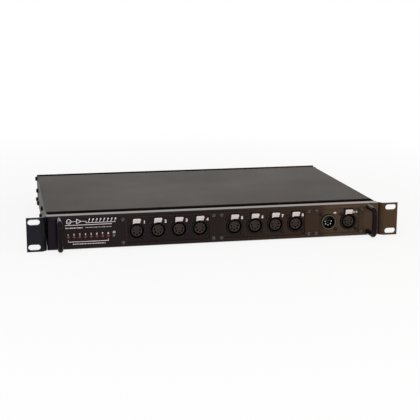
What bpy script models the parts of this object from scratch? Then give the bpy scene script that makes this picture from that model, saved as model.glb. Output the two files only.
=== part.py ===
# Eight-way lighting data splitter in a one-unit, 19 inch rack case. Metres, +Z up.
# Every piece is placed from the middle of the rack ears' front face: X runs to the right,
# Y to the back and Z up. The root empty then stands the whole case on the origin.
from math import cos, pi, radians, sin

import bmesh
import bpy
from mathutils import Matrix, Vector

# Clearance between neighbouring pieces, and how far a cutter runs past what it cuts
GAP = 0.0003
CUT_PAST = 0.0050
DRILL_DEPTH = 0.0120

# Sides of the round shapes: connector barrels, contacts and screws, drilled holes
BARREL_SIDES = 16
CORE_SIDES = 12
SCREW_SIDES = 6
HOLE_SIDES = 8

# Rack format
EAR_REACH = 0.0250
UNIT_HEIGHT = 0.0430
SLOT_PITCH = 0.03175
SLOT_INSET = 0.0093
SLOT_LENGTH = 0.0150
SLOT_HEIGHT = 0.0070
EAR_SHEET = 0.0025
EAR_BEND = 0.0085
EAR_LEG_END = 0.0400
EAR_LEG_HEIGHT = 0.0300
EAR_LEG_TAPER = 0.0130

# Case shell
BODY_WIDTH = 0.4326
BODY_DEPTH = 0.2950
COVER_FRONT = 0.0326
REAR_CHANNEL = 0.0110
REAR_LIP = 0.0006
COVER_SHEET = 0.0012
TRAY_SHEET = 0.0015
REAR_SHEET = 0.0020

# Front panel, a folded shell whose face lies just behind the ears' face
PANEL_FACE = 0.0010
PANEL_SHEET = 0.0020
PANEL_FLANGE_END = 0.0155
PANEL_ROUND = 0.0034

# Rails under the recessed strips in front of and behind the cover
CHANNEL_DEPTH = 0.0020
RAIL_FRONT = 0.0080
RAIL_LAP = 0.0074
RAIL_SHEET = 0.0025
RAIL_BAR_DEPTH = 0.0082
RAIL_BAR_HEIGHT = 0.0075

# Bent-rod handles
HANDLE_INSET = 0.0149
HANDLE_LIFT = 0.0005
HANDLE_SPACING = 0.0330
HANDLE_ROD = 0.0070
HANDLE_REACH = 0.0270
HANDLE_BEND = 0.0065
HANDLE_STRAIGHT = 0.0040

# Windows in the front panel: connectors side by side, and room outside the outer shells.
# The row runs leftwards from the last connector's place at the panel's right side.
WINDOWS = ((4, 0.0017), (4, 0.0017), (2, 0.0032))
GROUP_STEPS = (0.0452, 0.0450)
ROW_END = 0.0418
CONNECTOR_PITCH = 0.0270
CONNECTOR_Z = -0.0013
WINDOW_LIFT = 0.0002
WINDOW_HEIGHT = 0.0332
WINDOW_CORNER = 0.0025
PLATE_SHEET = 0.0020
PLATE_SCREW_REACH = 0.0175
PLATE_SCREW_Z = 0.0147
PLATE_EDGE = 0.0040
PLATE_HEIGHT = 0.0364
PLATE_CORNER = 0.0020

# Round connectors
SHELL_BORE = 0.0093
SHELL_WALL = 0.0017
SHELL_BORE_DEPTH = 0.0170
SHELL_PROUD = 0.0017
SHELL_DEPTH = 0.0250
INSERT_RADIUS = 0.0076
INSERT_RECESS = 0.0006
CONTACT_CIRCLE = 0.0044
CONTACT_HOLE = 0.0012
CONTACTS = 5
FLANGE_SPACE = 0.0012
FLANGE_LOW = 0.0155
FLANGE_HIGH = 0.0182
FLANGE_SHEET = 0.0020
SCREW_TUCK = 0.0011
LATCH_WIDTH = 0.0104
LATCH_LOW = 0.0102
LATCH_HIGH = 0.0168
LATCH_THICK = 0.0034
LATCH_PROUD = 0.0046
LATCH_STEM = 0.0060
LATCH_TRAVEL = 0.0018
LATCH_SPARE = 0.0012
LATCH_HOUSE_WALL = 0.0020
LATCH_WALL = 0.0006
MALE_BORE = 0.00815
MALE_WALL = 0.00215
MALE_PROUD = 0.0018
MALE_FLOOR = 0.0150
PIN_RADIUS = 0.0010
PIN_TIP = 0.0040

# Lamps
LAMP_RADIUS = 0.0015
LAMP_PITCH = 0.0071
LAMP_INSET = 0.0259
LAMP_Z = -0.0052
LAMP_COUNT = 9
LAMP_PROUD = 0.0012
LAMP_COLLAR = 0.0005
LAMP_BOARD = 0.0086
LAMP_BOARD_MARGIN = 0.0040
LAMP_BOARD_LEVELS = (-0.0140, 0.0100)

# Screws: head radius, head height, shank radius
PLATE_SCREW = (0.0028, 0.0016, 0.0015)
CONNECTOR_SCREW = (0.0023, 0.0012, 0.0012)
CASE_SCREW = (0.0029, 0.0032, 0.0015)
BASE_SCREW = (0.0028, 0.0012, 0.0015)
HANDLE_SCREW = (0.0019, 0.0020, 0.0015)
HANDLE_SCREW_SEAT = 0.0005
SCREW_HOLE = 0.0018

# Thread beyond the last sheet that a screw holds
SHORT_BITE = 0.0010
LONG_BITE = 0.0050

# Screw places: side screws from the rear end and the middle of the height, the rest along the width
SIDE_SCREWS = ((0.0315, 0.0037), (0.0433, -0.0128), (0.1822, 0.0087), (0.1290, -0.0130))
CORNER_SCREW_DROP = 0.0044
CORNER_SCREW_RISE = 0.0072
EAR_SCREWS = ((0.0255, 0.0085), (0.0255, -0.0085))
REAR_SCREW_INSET = 0.0213
REAR_SCREW_COUNT = 4
BASE_SCREW_INSET = 0.0363

# Boards and what they carry
BOARD = 0.0016
CONNECTOR_BOARD_HEIGHT = 0.0290
MAIN_BOARD_SIDE_ROOM = 0.0263
MAIN_BOARD_FRONT = 0.0460
MAIN_BOARD_REAR_ROOM = 0.1040
MAIN_BOARD_Z = -0.0155
STANDOFF_RADIUS = 0.0032
STANDOFF_PIN = 0.0014
STANDOFF_PIN_RISE = 0.0020
STANDOFF_INSET = 0.0080
CHANNELS = 8
CHANNEL_PITCH = 0.0400
CONVERTER = (0.0200, 0.0120, 0.0100)
CONVERTER_Y = 0.0900
DRIVER_CHIP = (0.0100, 0.0065, 0.0035)
DRIVER_Y = 0.0700
RECEIVER_Y = 0.1120
CAPACITOR = (0.0060, 0.0220)
CAPACITOR_X = (-0.1200, -0.1000, -0.0800)
CAPACITOR_INSET = 0.0160
TRANSFORMER_FEET = (0.0680, 0.0180, 0.0025)
TRANSFORMER_CORE = (0.0462, 0.0560, 0.0290)
TRANSFORMER_COIL = (0.0300, 0.0694, 0.0210)
TRANSFORMER_X = 0.1150
TRANSFORMER_REAR_ROOM = 0.0550
TRANSFORMER_SCREW_INSET = 0.0050
TRANSFORMER_STUD = 0.0080
RIBBON_WIDTH = 0.0250
RIBBON_SHEET = 0.0010
RIBBON_RISE = 0.0050
RIBBON_LANDING = 0.0100
RIBBON_STEPS = 8

# Mains inlet and switch in the rear panel
INLET_X = -0.1600
INLET_OPENING = (0.0280, 0.0205)
INLET_FLANGE = (0.0500, 0.0250, 0.0025)
INLET_CORNER = 0.0040
INLET_SOCKET = (0.0242, 0.0164, 0.0160)
INLET_WALL_DEPTH = 0.0220
INLET_SCREW_SPREAD = 0.0400
INLET_PIN = (0.0020, 0.0040)
INLET_PIN_SPREAD = 0.0070
INLET_PIN_OFFSET = 0.0020
INLET_PIN_RECESS = 0.0020
SWITCH_X = -0.1150
SWITCH_OPENING = (0.0192, 0.0130)
SWITCH_BEZEL = (0.0230, 0.0170, 0.0020)
SWITCH_DEPTH = 0.0160
SWITCH_WALL = 0.0012
ROCKER_TILT = 10.0
ROCKER_AXLE_INSET = 0.0020
ROCKER_DEPTH = 0.0070
ROCKER_FACE_ANGLE = 26.0
ROCKER_BACK = (0.72, 0.55)

# Places that follow from the sizes above
half_width = BODY_WIDTH / 2
half_height = UNIT_HEIGHT / 2
ear_end = half_width + EAR_REACH
slot_centre = ear_end - SLOT_INSET
handle_centre = half_width - HANDLE_INSET
cover_rear = BODY_DEPTH - REAR_CHANNEL
shell_ring = SHELL_BORE + SHELL_WALL
male_ring = MALE_BORE + MALE_WALL
screw_offset = shell_ring - SCREW_TUCK
flange_width = CONNECTOR_PITCH - FLANGE_SPACE
lamp_first = -half_width + LAMP_INSET
main_board_end = BODY_DEPTH - MAIN_BOARD_REAR_ROOM
transformer_y = BODY_DEPTH - TRANSFORMER_REAR_ROOM
panel_back = PANEL_FACE + PANEL_SHEET
panel_inside = half_height - PANEL_SHEET
plate_front = panel_back + GAP
plate_back = plate_front + PLATE_SHEET
flange_front = plate_back + GAP
flange_back = flange_front + FLANGE_SHEET
shell_start = PANEL_FLANGE_END + GAP
rear_inside = BODY_DEPTH - REAR_SHEET
shell_end = rear_inside - GAP
cover_underside = half_height - COVER_SHEET
tray_half_width = half_width - COVER_SHEET - GAP
tray_inside = tray_half_width - TRAY_SHEET
tray_top = cover_underside - GAP
tray_floor = -half_height + TRAY_SHEET
rail_half_length = tray_inside - GAP
channel_floor = half_height - CHANNEL_DEPTH
rail_underside = channel_floor - RAIL_SHEET

FRONT = Matrix.Rotation(radians(90), 4, "X")
REAR = Matrix.Rotation(radians(-90), 4, "X")
LEFT = Matrix.Rotation(radians(-90), 4, "Y")
RIGHT = Matrix.Rotation(radians(90), 4, "Y")
BELOW = Matrix.Rotation(radians(180), 4, "X")
ACROSS = Matrix(((0, 0, 1, 0), (1, 0, 0, 0), (0, 1, 0, 0), (0, 0, 0, 1)))


def clear_scene():
    for thing in list(bpy.data.objects):
        bpy.data.objects.remove(thing, do_unlink=True)


def make_collection(name):
    collection = bpy.data.collections.new(name)
    bpy.context.scene.collection.children.link(collection)
    return collection


def make_material(name, color, roughness, metallic=0.0, emission=0.0):
    material = bpy.data.materials.new(name)
    material.use_nodes = True
    shader = material.node_tree.nodes["Principled BSDF"]
    shader.inputs["Base Color"].default_value = (*color, 1.0)
    shader.inputs["Roughness"].default_value = roughness
    shader.inputs["Metallic"].default_value = metallic
    shader.inputs["Emission Color"].default_value = (*color, 1.0)
    shader.inputs["Emission Strength"].default_value = emission
    return material


def mesh_of(bm):
    bmesh.ops.remove_doubles(bm, verts=bm.verts, dist=1e-6)
    mesh = bpy.data.meshes.new("solid")
    bm.to_mesh(mesh)
    bm.free()
    return mesh


def add_box(bm, low, high):
    size = [b - a for a, b in zip(low, high)]
    middle = [(a + b) / 2 for a, b in zip(low, high)]
    place = Matrix.Translation(middle) @ Matrix.Diagonal((*size, 1.0))
    bmesh.ops.create_cube(bm, size=1.0, matrix=place)


def add_rod(bm, place, radius, start, end, segments):
    # A round bar along the local Z of the given placement
    middle = Matrix.Translation((0, 0, (start + end) / 2))
    bmesh.ops.create_cone(bm, cap_ends=True, segments=segments, radius1=radius, radius2=radius,
                          depth=end - start, matrix=place @ middle)


def boxes(*corners):
    bm = bmesh.new()
    for low, high in corners:
        add_box(bm, low, high)
    return mesh_of(bm)


def rods(*bars, segments=HOLE_SIDES):
    bm = bmesh.new()
    for place, radius, start, end in bars:
        add_rod(bm, place, radius, start, end, segments)
    return mesh_of(bm)


def copies(mesh, places):
    bm = bmesh.new()
    for place in places:
        piece = mesh.copy()
        piece.transform(place)
        bm.from_mesh(piece)
        bpy.data.meshes.remove(piece)
    return mesh_of(bm)


def add_object(name, mesh, material, collection, parent):
    mesh.name = name
    if not mesh.materials:
        mesh.materials.append(material)
    thing = bpy.data.objects.new(name, mesh)
    thing.parent = parent
    collection.objects.link(thing)
    return thing


def smooth_round(mesh):
    mesh.shade_smooth()
    mesh.set_sharp_from_angle(angle=radians(35))


def baked(thing):
    # The evaluated mesh of a helper object, which is then removed
    graph = bpy.context.evaluated_depsgraph_get()
    mesh = bpy.data.meshes.new_from_object(thing.evaluated_get(graph))
    mesh.transform(thing.matrix_world)
    bpy.data.objects.remove(thing, do_unlink=True)
    bm = bmesh.new()
    bm.from_mesh(mesh)
    bpy.data.meshes.remove(mesh)
    bmesh.ops.remove_doubles(bm, verts=bm.verts, dist=1e-6)
    bmesh.ops.recalc_face_normals(bm, faces=bm.faces)
    return mesh_of(bm)


def helper(data):
    thing = bpy.data.objects.new("helper", data)
    bpy.context.scene.collection.objects.link(thing)
    return thing


def joined_and_cut(solids, cutters):
    # Solids fused one after another, then each cutter taken away
    body = helper(solids[0])
    tools = []
    for operation, meshes in (("UNION", solids[1:]), ("DIFFERENCE", cutters)):
        for mesh in meshes:
            tool = helper(mesh)
            tools.append(tool)
            step = body.modifiers.new(operation, "BOOLEAN")
            step.operation = operation
            step.solver = "EXACT"
            step.object = tool
    bpy.context.view_layer.update()
    mesh = baked(body)
    for tool in tools:
        bpy.data.objects.remove(tool, do_unlink=True)
    return mesh


def slab(points, thickness, place):
    # A flat outline as a 2D curve, extruded to both sides of its plane
    curve = bpy.data.curves.new("outline", "CURVE")
    curve.dimensions = "2D"
    curve.fill_mode = "BOTH"
    curve.extrude = thickness / 2
    spline = curve.splines.new("POLY")
    spline.points.add(len(points) - 1)
    for point, (x, y) in zip(spline.points, points):
        point.co = (x, y, 0, 1)
    spline.use_cyclic_u = True
    thing = helper(curve)
    thing.matrix_world = place
    bpy.context.view_layer.update()
    mesh = baked(thing)
    bpy.data.curves.remove(curve)
    return mesh


def turned(profile, steps):
    # A profile in the XZ plane, spun round Z; it runs down the outer side from top to bottom
    bm = bmesh.new()
    corners = [bm.verts.new((r, 0, z)) for r, z in profile]
    for a, b in zip(corners, corners[1:]):
        bm.edges.new((a, b))
    mesh = bpy.data.meshes.new("profile")
    bm.to_mesh(mesh)
    bm.free()
    thing = helper(mesh)
    screw = thing.modifiers.new("spin", "SCREW")
    screw.axis = "Z"
    screw.steps = steps
    screw.render_steps = steps
    screw.use_merge_vertices = True
    screw.merge_threshold = 0.00001
    bpy.context.view_layer.update()
    return baked(thing)


def arc(centre, radius, start, end, steps):
    turn = [radians(start + (end - start) * k / steps) for k in range(steps + 1)]
    return [(centre[0] + radius * cos(a), centre[1] + radius * sin(a)) for a in turn]


def rounded_rectangle(centre, width, height, radius, steps=4):
    x, y = width / 2 - radius, height / 2 - radius
    corners = ((x, y, 0), (-x, y, 90), (-x, -y, 180), (x, -y, 270))
    outline = []
    for dx, dy, start in corners:
        outline += arc((centre[0] + dx, centre[1] + dy), radius, start, start + 90, steps)
    return outline


def screw_mesh(size, length):
    # Head above the local origin, shank below it
    head, height, shank = size
    profile = ((0, height), (head, height), (head, 0), (shank, 0), (shank, -length), (0, -length))
    return turned(profile, SCREW_SIDES)


def carve(thing, cutter_mesh, name, cutters, parent):
    # A visible piece keeps its Boolean, with the cutter in its own collection
    cutter = bpy.data.objects.new(name, cutter_mesh)
    cutter.parent = parent
    cutter.hide_render = True
    cutter.display_type = "WIRE"
    cutters.objects.link(cutter)
    step = thing.modifiers.new(name, "BOOLEAN")
    step.operation = "DIFFERENCE"
    step.solver = "EXACT"
    step.object = cutter


def open_box(low, high, drop):
    # A box without the faces whose outward normals are listed
    bm = bmesh.new()
    add_box(bm, low, high)
    bm.normal_update()
    gone = [f for f in bm.faces if any(f.normal.dot(Vector(n)) > 0.9 for n in drop)]
    bmesh.ops.delete(bm, geom=gone, context="FACES")
    return bm


def add_sheet(thing, thickness):
    sheet = thing.modifiers.new("sheet", "SOLIDIFY")
    sheet.thickness = thickness
    sheet.offset = -1
    sheet.use_even_offset = True


def window_row():
    # Middle, connectors, half width and reach of the screws of each window, from left to right
    last = half_width - ROW_END
    row = []
    for (ways, room), step in zip(reversed(WINDOWS), (*reversed(GROUP_STEPS), 0)):
        span = (ways - 1) * CONNECTOR_PITCH
        half = span / 2 + shell_ring + room
        row.insert(0, (last - span / 2, ways, half, span / 2 + PLATE_SCREW_REACH))
        last -= span + step
    return row


def plate_screw_places():
    for middle, ways, half, reach in window_row():
        for side in (-1, 1):
            for level in (-1, 1):
                yield middle + side * reach, level * PLATE_SCREW_Z


def connector_centres():
    # Eight outputs, then the input and the through output in the last window
    centres = []
    for middle, ways, half, reach in window_row():
        first = middle - (ways - 1) * CONNECTOR_PITCH / 2
        centres += [first + k * CONNECTOR_PITCH for k in range(ways)]
    return centres


def connector_screw_places():
    for x in connector_centres():
        yield x - screw_offset, CONNECTOR_Z + screw_offset
        yield x + screw_offset, CONNECTOR_Z - screw_offset


def lamp_x(number):
    return lamp_first + number * LAMP_PITCH


def handle_arm_places():
    for side in (-1, 1):
        for level in (-1, 1):
            yield side * handle_centre, HANDLE_LIFT + level * HANDLE_SPACING / 2


def standoff_places():
    x = half_width - MAIN_BOARD_SIDE_ROOM - STANDOFF_INSET
    front = MAIN_BOARD_FRONT + STANDOFF_INSET
    back = main_board_end - STANDOFF_INSET
    return [(px, py) for px in (-x, 0, x) for py in (front, back)]


def transformer_screw_places():
    reach = TRANSFORMER_FEET[0] / 2 - TRANSFORMER_SCREW_INSET
    return [(TRANSFORMER_X - reach, transformer_y), (TRANSFORMER_X + reach, transformer_y)]


def side_screws():
    return tuple((BODY_DEPTH - from_rear, z) for from_rear, z in SIDE_SCREWS)


def rear_screw_places():
    end = half_width - REAR_SCREW_INSET
    return [-end + 2 * end * k / (REAR_SCREW_COUNT - 1) for k in range(REAR_SCREW_COUNT)]


def base_screw_places():
    end = half_width - BASE_SCREW_INSET
    return [Matrix.Translation((x, (RAIL_FRONT + PANEL_FLANGE_END) / 2, 0)) for x in (-end, 0, end)]


def front_hole(x, z, radius):
    return (Matrix.Translation((x, 0, z)) @ FRONT, radius, -DRILL_DEPTH, CUT_PAST)


def side_holes(places, radius):
    reach = half_width + DRILL_DEPTH
    inner = half_width - DRILL_DEPTH
    bars = []
    for y, z in places:
        bars.append((Matrix.Translation((0, y, z)) @ LEFT, radius, inner, reach))
        bars.append((Matrix.Translation((0, y, z)) @ RIGHT, radius, inner, reach))
    return bars


def build_front_panel(parts, cutters, root, paint):
    bm = open_box((-half_width, PANEL_FACE, -half_height),
                  (half_width, PANEL_FLANGE_END, half_height), ((0, 1, 0),))
    front = [e for e in bm.edges if all(abs(v.co.y - PANEL_FACE) < 1e-6 for v in e.verts)]
    bmesh.ops.bevel(bm, geom=front, offset=PANEL_ROUND, segments=4, profile=0.5, affect="EDGES")
    panel = add_object("front_panel", mesh_of(bm), paint, parts, root)
    add_sheet(panel, PANEL_SHEET)
    windows = []
    for middle, ways, half, reach in window_row():
        outline = rounded_rectangle((middle, WINDOW_LIFT), 2 * half, WINDOW_HEIGHT, WINDOW_CORNER)
        windows.append(slab(outline, 2 * DRILL_DEPTH, FRONT))
    carve(panel, copies_of(windows), "front_panel_windows", cutters, root)
    holes = [front_hole(x, z, SCREW_HOLE) for x, z in plate_screw_places()]
    holes += [front_hole(x, z, SCREW_HOLE) for x, z in handle_arm_places()]
    holes += [front_hole(lamp_x(k), LAMP_Z, LAMP_RADIUS + GAP) for k in range(LAMP_COUNT)]
    carve(panel, rods(*holes), "front_panel_drills", cutters, root)
    floor = -half_height + BASE_SCREW[1] + GAP
    under = -half_height - CUT_PAST
    seats = rods(*[(at, BASE_SCREW[0] + GAP, under, floor) for at in base_screw_places()])
    drills = rods(*[(at, SCREW_HOLE, under, -panel_inside + GAP) for at in base_screw_places()])
    carve(panel, joined_and_cut([seats, drills], []), "front_panel_counterbores", cutters, root)


def copies_of(meshes):
    bm = bmesh.new()
    for mesh in meshes:
        bm.from_mesh(mesh)
        bpy.data.meshes.remove(mesh)
    return mesh_of(bm)


def build_cover(parts, cutters, root, paint):
    bm = open_box((-half_width, shell_start, -half_height), (half_width, shell_end, half_height),
                  ((0, 0, -1), (0, 1, 0), (0, -1, 0)))
    cover = add_object("top_cover", mesh_of(bm), paint, parts, root)
    add_sheet(cover, COVER_SHEET)
    inner = half_width - COVER_SHEET
    low, high = cover_underside - GAP, half_height + CUT_PAST
    strips = boxes(((-inner, shell_start - CUT_PAST, low), (inner, COVER_FRONT, high)),
                   ((-inner, cover_rear, low), (inner, shell_end + CUT_PAST, high)))
    carve(cover, strips, "cover_strips", cutters, root)
    drills = rods(*side_holes(corner_screws() + side_screws() + EAR_SCREWS, SCREW_HOLE))
    carve(cover, drills, "cover_screw_holes", cutters, root)


def build_tray(parts, cutters, root, paint):
    # A folded sheet with its pressed-in standoffs and studs, and the screws that hold the cover
    sheet = open_box((-tray_half_width, shell_start, -half_height), (tray_half_width, shell_end, tray_top),
                     ((0, 0, 1), (0, 1, 0), (0, -1, 0)))
    body = helper(mesh_of(sheet))
    add_sheet(body, TRAY_SHEET)
    bpy.context.view_layer.update()
    folded = baked(body)
    posts = []
    for x, y in standoff_places():
        at = Matrix.Translation((x, y, 0))
        posts.append((at, STANDOFF_RADIUS, tray_floor - TRAY_SHEET / 2, MAIN_BOARD_Z - GAP))
    pins = [(at, STANDOFF_PIN, low, MAIN_BOARD_Z + BOARD + STANDOFF_PIN_RISE)
            for at, radius, low, high in posts]
    studs = [(Matrix.Translation((x, y, 0)), STANDOFF_PIN, tray_floor - TRAY_SHEET / 2,
              tray_floor + TRANSFORMER_STUD) for x, y in transformer_screw_places()]
    seat = half_width + GAP
    long_screw = screw_mesh(CASE_SCREW, seat - tray_inside + LONG_BITE)
    short_screw = screw_mesh(CASE_SCREW, seat - tray_inside + SHORT_BITE)
    screws = []
    for mesh, places in ((long_screw, corner_screws()), (short_screw, side_screws())):
        for y, z in places:
            screws.append(copies(mesh, [Matrix.Translation((-seat, y, z)) @ LEFT,
                                        Matrix.Translation((seat, y, z)) @ RIGHT]))
    solid = joined_and_cut([folded, rods(*posts), rods(*pins, *studs), copies_of(screws)], [])
    tray = add_object("chassis_tray", solid, paint, parts, root)
    carve(tray, rods(*side_holes(EAR_SCREWS, SCREW_HOLE)), "tray_holes", cutters, root)


def build_rails(parts, cutters, root, anodised):
    flange_room = panel_inside - GAP
    step = (PANEL_FLANGE_END + shell_start) / 2
    lap = cover_underside - GAP
    top = ((RAIL_FRONT, rail_underside), (COVER_FRONT + RAIL_LAP, rail_underside),
           (COVER_FRONT + RAIL_LAP, lap), (COVER_FRONT, lap), (COVER_FRONT, channel_floor),
           (shell_start, channel_floor), (shell_start, flange_room), (RAIL_FRONT, flange_room))
    length = 2 * rail_half_length
    add_object("front_rail_top", slab(top, length, ACROSS), anodised, parts, root)
    under = tray_floor + GAP
    bottom = ((RAIL_FRONT, -flange_room), (step, -flange_room), (step, under),
              (COVER_FRONT + RAIL_LAP, under), (COVER_FRONT + RAIL_LAP, -rail_underside),
              (RAIL_FRONT, -rail_underside))
    screw = screw_mesh(BASE_SCREW, PANEL_SHEET - BASE_SCREW[1] + GAP + SHORT_BITE)
    head = Matrix.Translation((0, 0, -half_height + BASE_SCREW[1])) @ BELOW
    screws = copies(screw, [at @ head for at in base_screw_places()])
    lower = joined_and_cut([slab(bottom, length, ACROSS), screws], [])
    add_object("front_rail_bottom", lower, anodised, parts, root)
    bar = shell_end - RAIL_BAR_DEPTH
    foot = channel_floor - RAIL_BAR_HEIGHT
    lap_end = cover_rear - RAIL_LAP
    back = ((lap_end, rail_underside), (bar, rail_underside), (bar, foot), (shell_end, foot),
            (shell_end, channel_floor), (cover_rear, channel_floor), (cover_rear, lap), (lap_end, lap))
    base = ((bar, under), (shell_end, under), (shell_end, under + RAIL_BAR_HEIGHT),
            (bar, under + RAIL_BAR_HEIGHT))
    screw = screw_mesh(CASE_SCREW, REAR_SHEET + LONG_BITE)
    for name, outline, level in (("rear_rail_top", back, 1), ("rear_rail_bottom", base, -1)):
        screws = copies(screw, [Matrix.Translation((x, BODY_DEPTH + GAP, level * rear_screw_z())) @ REAR
                                for x in rear_screw_places()])
        rail = add_object(name, joined_and_cut([slab(outline, length, ACROSS), screws], []),
                          anodised, parts, root)
        ends = [place for place in corner_screws() if place[1] * level > 0]
        carve(rail, rods(*side_holes(ends, SCREW_HOLE)), name + "_holes", cutters, root)


def corner_screws():
    # These two on each side run into the ends of the rear rails
    y = shell_end - RAIL_BAR_DEPTH / 2
    return (y, half_height - CORNER_SCREW_DROP), (y, -half_height + CORNER_SCREW_RISE)


def rear_screw_z():
    return channel_floor - RAIL_BAR_HEIGHT / 2


def build_rear_panel(parts, cutters, root, paint):
    # Its top and side edges stand a little proud of the cover
    reach = half_width + REAR_LIP
    sheet = boxes(((-reach, rear_inside, -half_height), (reach, BODY_DEPTH, half_height + REAR_LIP)))
    panel = add_object("rear_panel", sheet, paint, parts, root)
    deep = DRILL_DEPTH
    inlet = (INLET_OPENING[0] / 2, INLET_OPENING[1] / 2)
    switch = (SWITCH_OPENING[0] / 2, SWITCH_OPENING[1] / 2)
    openings = boxes(((INLET_X - inlet[0], BODY_DEPTH - deep, -inlet[1]),
                      (INLET_X + inlet[0], BODY_DEPTH + deep, inlet[1])),
                     ((SWITCH_X - switch[0], BODY_DEPTH - deep, -switch[1]),
                      (SWITCH_X + switch[0], BODY_DEPTH + deep, switch[1])))
    holes = [(Matrix.Translation((x, BODY_DEPTH, level * rear_screw_z())) @ REAR, SCREW_HOLE, -deep, deep)
             for x in rear_screw_places() for level in (-1, 1)]
    holes += [(Matrix.Translation((INLET_X + side * INLET_SCREW_SPREAD / 2, BODY_DEPTH, 0)) @ REAR,
               SCREW_HOLE, -deep, deep) for side in (-1, 1)]
    carve(panel, copies_of([openings, rods(*holes)]), "rear_panel_cuts", cutters, root)


def build_ears(parts, cutters, root, paint):
    # Seen from above: front flange, round bend, and a leg along the side of the case
    leg = half_width + GAP
    centre = (leg + EAR_BEND, EAR_BEND)
    outline = [(ear_end, 0), (ear_end, EAR_SHEET)]
    outline += arc(centre, EAR_BEND - EAR_SHEET, 270, 180, 6)
    outline += [(leg + EAR_SHEET, EAR_LEG_END), (leg, EAR_LEG_END)]
    outline += arc(centre, EAR_BEND, 180, 270, 6)
    bracket = slab(outline, UNIT_HEIGHT, Matrix.Identity(4))
    slots = []
    for level in (-1, 1):
        shape = rounded_rectangle((slot_centre, level * SLOT_PITCH / 2), SLOT_LENGTH, SLOT_HEIGHT,
                                  SLOT_HEIGHT * 0.499, steps=6)
        slots.append(slab(shape, 2 * DRILL_DEPTH, FRONT))
    trims = []
    reach = half_height + CUT_PAST
    leg_half = EAR_LEG_HEIGHT / 2
    taper = EAR_BEND + EAR_LEG_TAPER
    behind = EAR_LEG_END + CUT_PAST
    for level in (-1, 1):
        wedge = [(EAR_BEND, level * reach), (EAR_BEND, level * half_height), (taper, level * leg_half),
                 (behind, level * leg_half), (behind, level * reach)]
        trims.append(slab(wedge, 2 * EAR_SHEET, Matrix.Translation((leg + EAR_SHEET / 2, 0, 0)) @ ACROSS))
    trimmed = joined_and_cut([bracket], [copies_of(slots), copies_of(trims)])
    seat = leg + EAR_SHEET - GAP / 3
    screw = screw_mesh(CASE_SCREW, seat - tray_inside + SHORT_BITE)
    screws = copies(screw, [Matrix.Translation((seat, y, z)) @ RIGHT for y, z in EAR_SCREWS])
    ear = joined_and_cut([trimmed, screws], [])
    other = ear.copy()
    other.transform(Matrix.Diagonal((-1, 1, 1, 1)))
    other.flip_normals()
    add_object("ear_right", ear, paint, parts, root)
    add_object("ear_left", other, paint, parts, root)


def build_handles(parts, root, paint):
    start = PANEL_FACE - GAP
    bar = -HANDLE_REACH + HANDLE_ROD / 2
    arm = HANDLE_SPACING / 2
    path = [(start, arm), (start - HANDLE_STRAIGHT, arm)]
    path += arc((bar + HANDLE_BEND, arm - HANDLE_BEND), HANDLE_BEND, 90, 180, 6)
    path += [(y, -z) for y, z in reversed(path)]
    screw_seat = panel_back + HANDLE_SCREW_SEAT
    screw = screw_mesh(HANDLE_SCREW, screw_seat - start + LONG_BITE)
    curve = bpy.data.curves.new("rod", "CURVE")
    curve.dimensions = "3D"
    curve.bevel_depth = HANDLE_ROD / 2
    curve.bevel_resolution = 4
    curve.use_fill_caps = True
    spline = curve.splines.new("POLY")
    spline.points.add(len(path) - 1)
    for point, (y, z) in zip(spline.points, path):
        point.co = (0, y, z, 1)
    rod = helper(curve)
    bpy.context.view_layer.update()
    bent = baked(rod)
    bpy.data.curves.remove(curve)
    screws = copies(screw, [Matrix.Translation((0, screw_seat, level * arm)) @ REAR for level in (-1, 1)])
    mesh = joined_and_cut([bent, screws], [])
    smooth_round(mesh)
    for side, name in ((-1, "handle_left"), (1, "handle_right")):
        handle = add_object(name, mesh, paint, parts, root)
        handle.location = (side * handle_centre, 0, HANDLE_LIFT)


def build_plates(parts, cutters, root, paint):
    screw = screw_mesh(PLATE_SCREW, plate_back - PANEL_FACE + GAP + SHORT_BITE)
    for number, (middle, ways, width, reach) in enumerate(window_row(), start=1):
        half = reach + PLATE_EDGE
        outline = rounded_rectangle((middle, 0), 2 * half, PLATE_HEIGHT, PLATE_CORNER)
        sheet = slab(outline, PLATE_SHEET, Matrix.Translation((0, (plate_front + plate_back) / 2, 0)) @ FRONT)
        screws = copies(screw, [Matrix.Translation((x, PANEL_FACE - GAP, z)) @ FRONT
                                for x, z in plate_screw_places() if abs(x - middle) < half])
        name = "connector_plate_%d" % number
        plate = add_object(name, joined_and_cut([sheet, screws], []), paint, parts, root)
        rounds = []
        notches = []
        for x in connector_centres():
            if abs(x - middle) > width:
                continue
            is_input = abs(x - input_centre()) < 1e-6
            rounds.append(front_hole(x, CONNECTOR_Z, (male_ring if is_input else shell_ring) + GAP))
            if not is_input:
                notches.append(latch_house(x, GAP, 0, DRILL_DEPTH))
        bores = joined_and_cut([rods(bore, segments=BARREL_SIDES) for bore in rounds], [])
        carve(plate, bores, name + "_bores", cutters, root)
        drills = [front_hole(x, z, CONNECTOR_SCREW[2] + GAP) for x, z in connector_screw_places()
                  if abs(x - middle) < width]
        carve(plate, rods(*drills), name + "_drills", cutters, root)
        carve(plate, boxes(*notches), name + "_notches", cutters, root)


def input_centre():
    return connector_centres()[CHANNELS]


def latch_house(x, clearance, front, back):
    # The box that holds a latch above its connector, grown by a clearance
    half = LATCH_WIDTH / 2 + GAP + LATCH_WALL + clearance
    high = CONNECTOR_Z + LATCH_HIGH + GAP + LATCH_WALL + clearance
    return (x - half, front, CONNECTOR_Z + SHELL_BORE / 2), (x + half, back, high)


def shell_screws():
    screw = screw_mesh(CONNECTOR_SCREW, flange_back - plate_front + GAP + SHORT_BITE)
    seat = plate_front - GAP
    return copies(screw, [Matrix.Translation((side * screw_offset, seat, CONNECTOR_Z - side * screw_offset))
                          @ FRONT for side in (-1, 1)])


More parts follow.
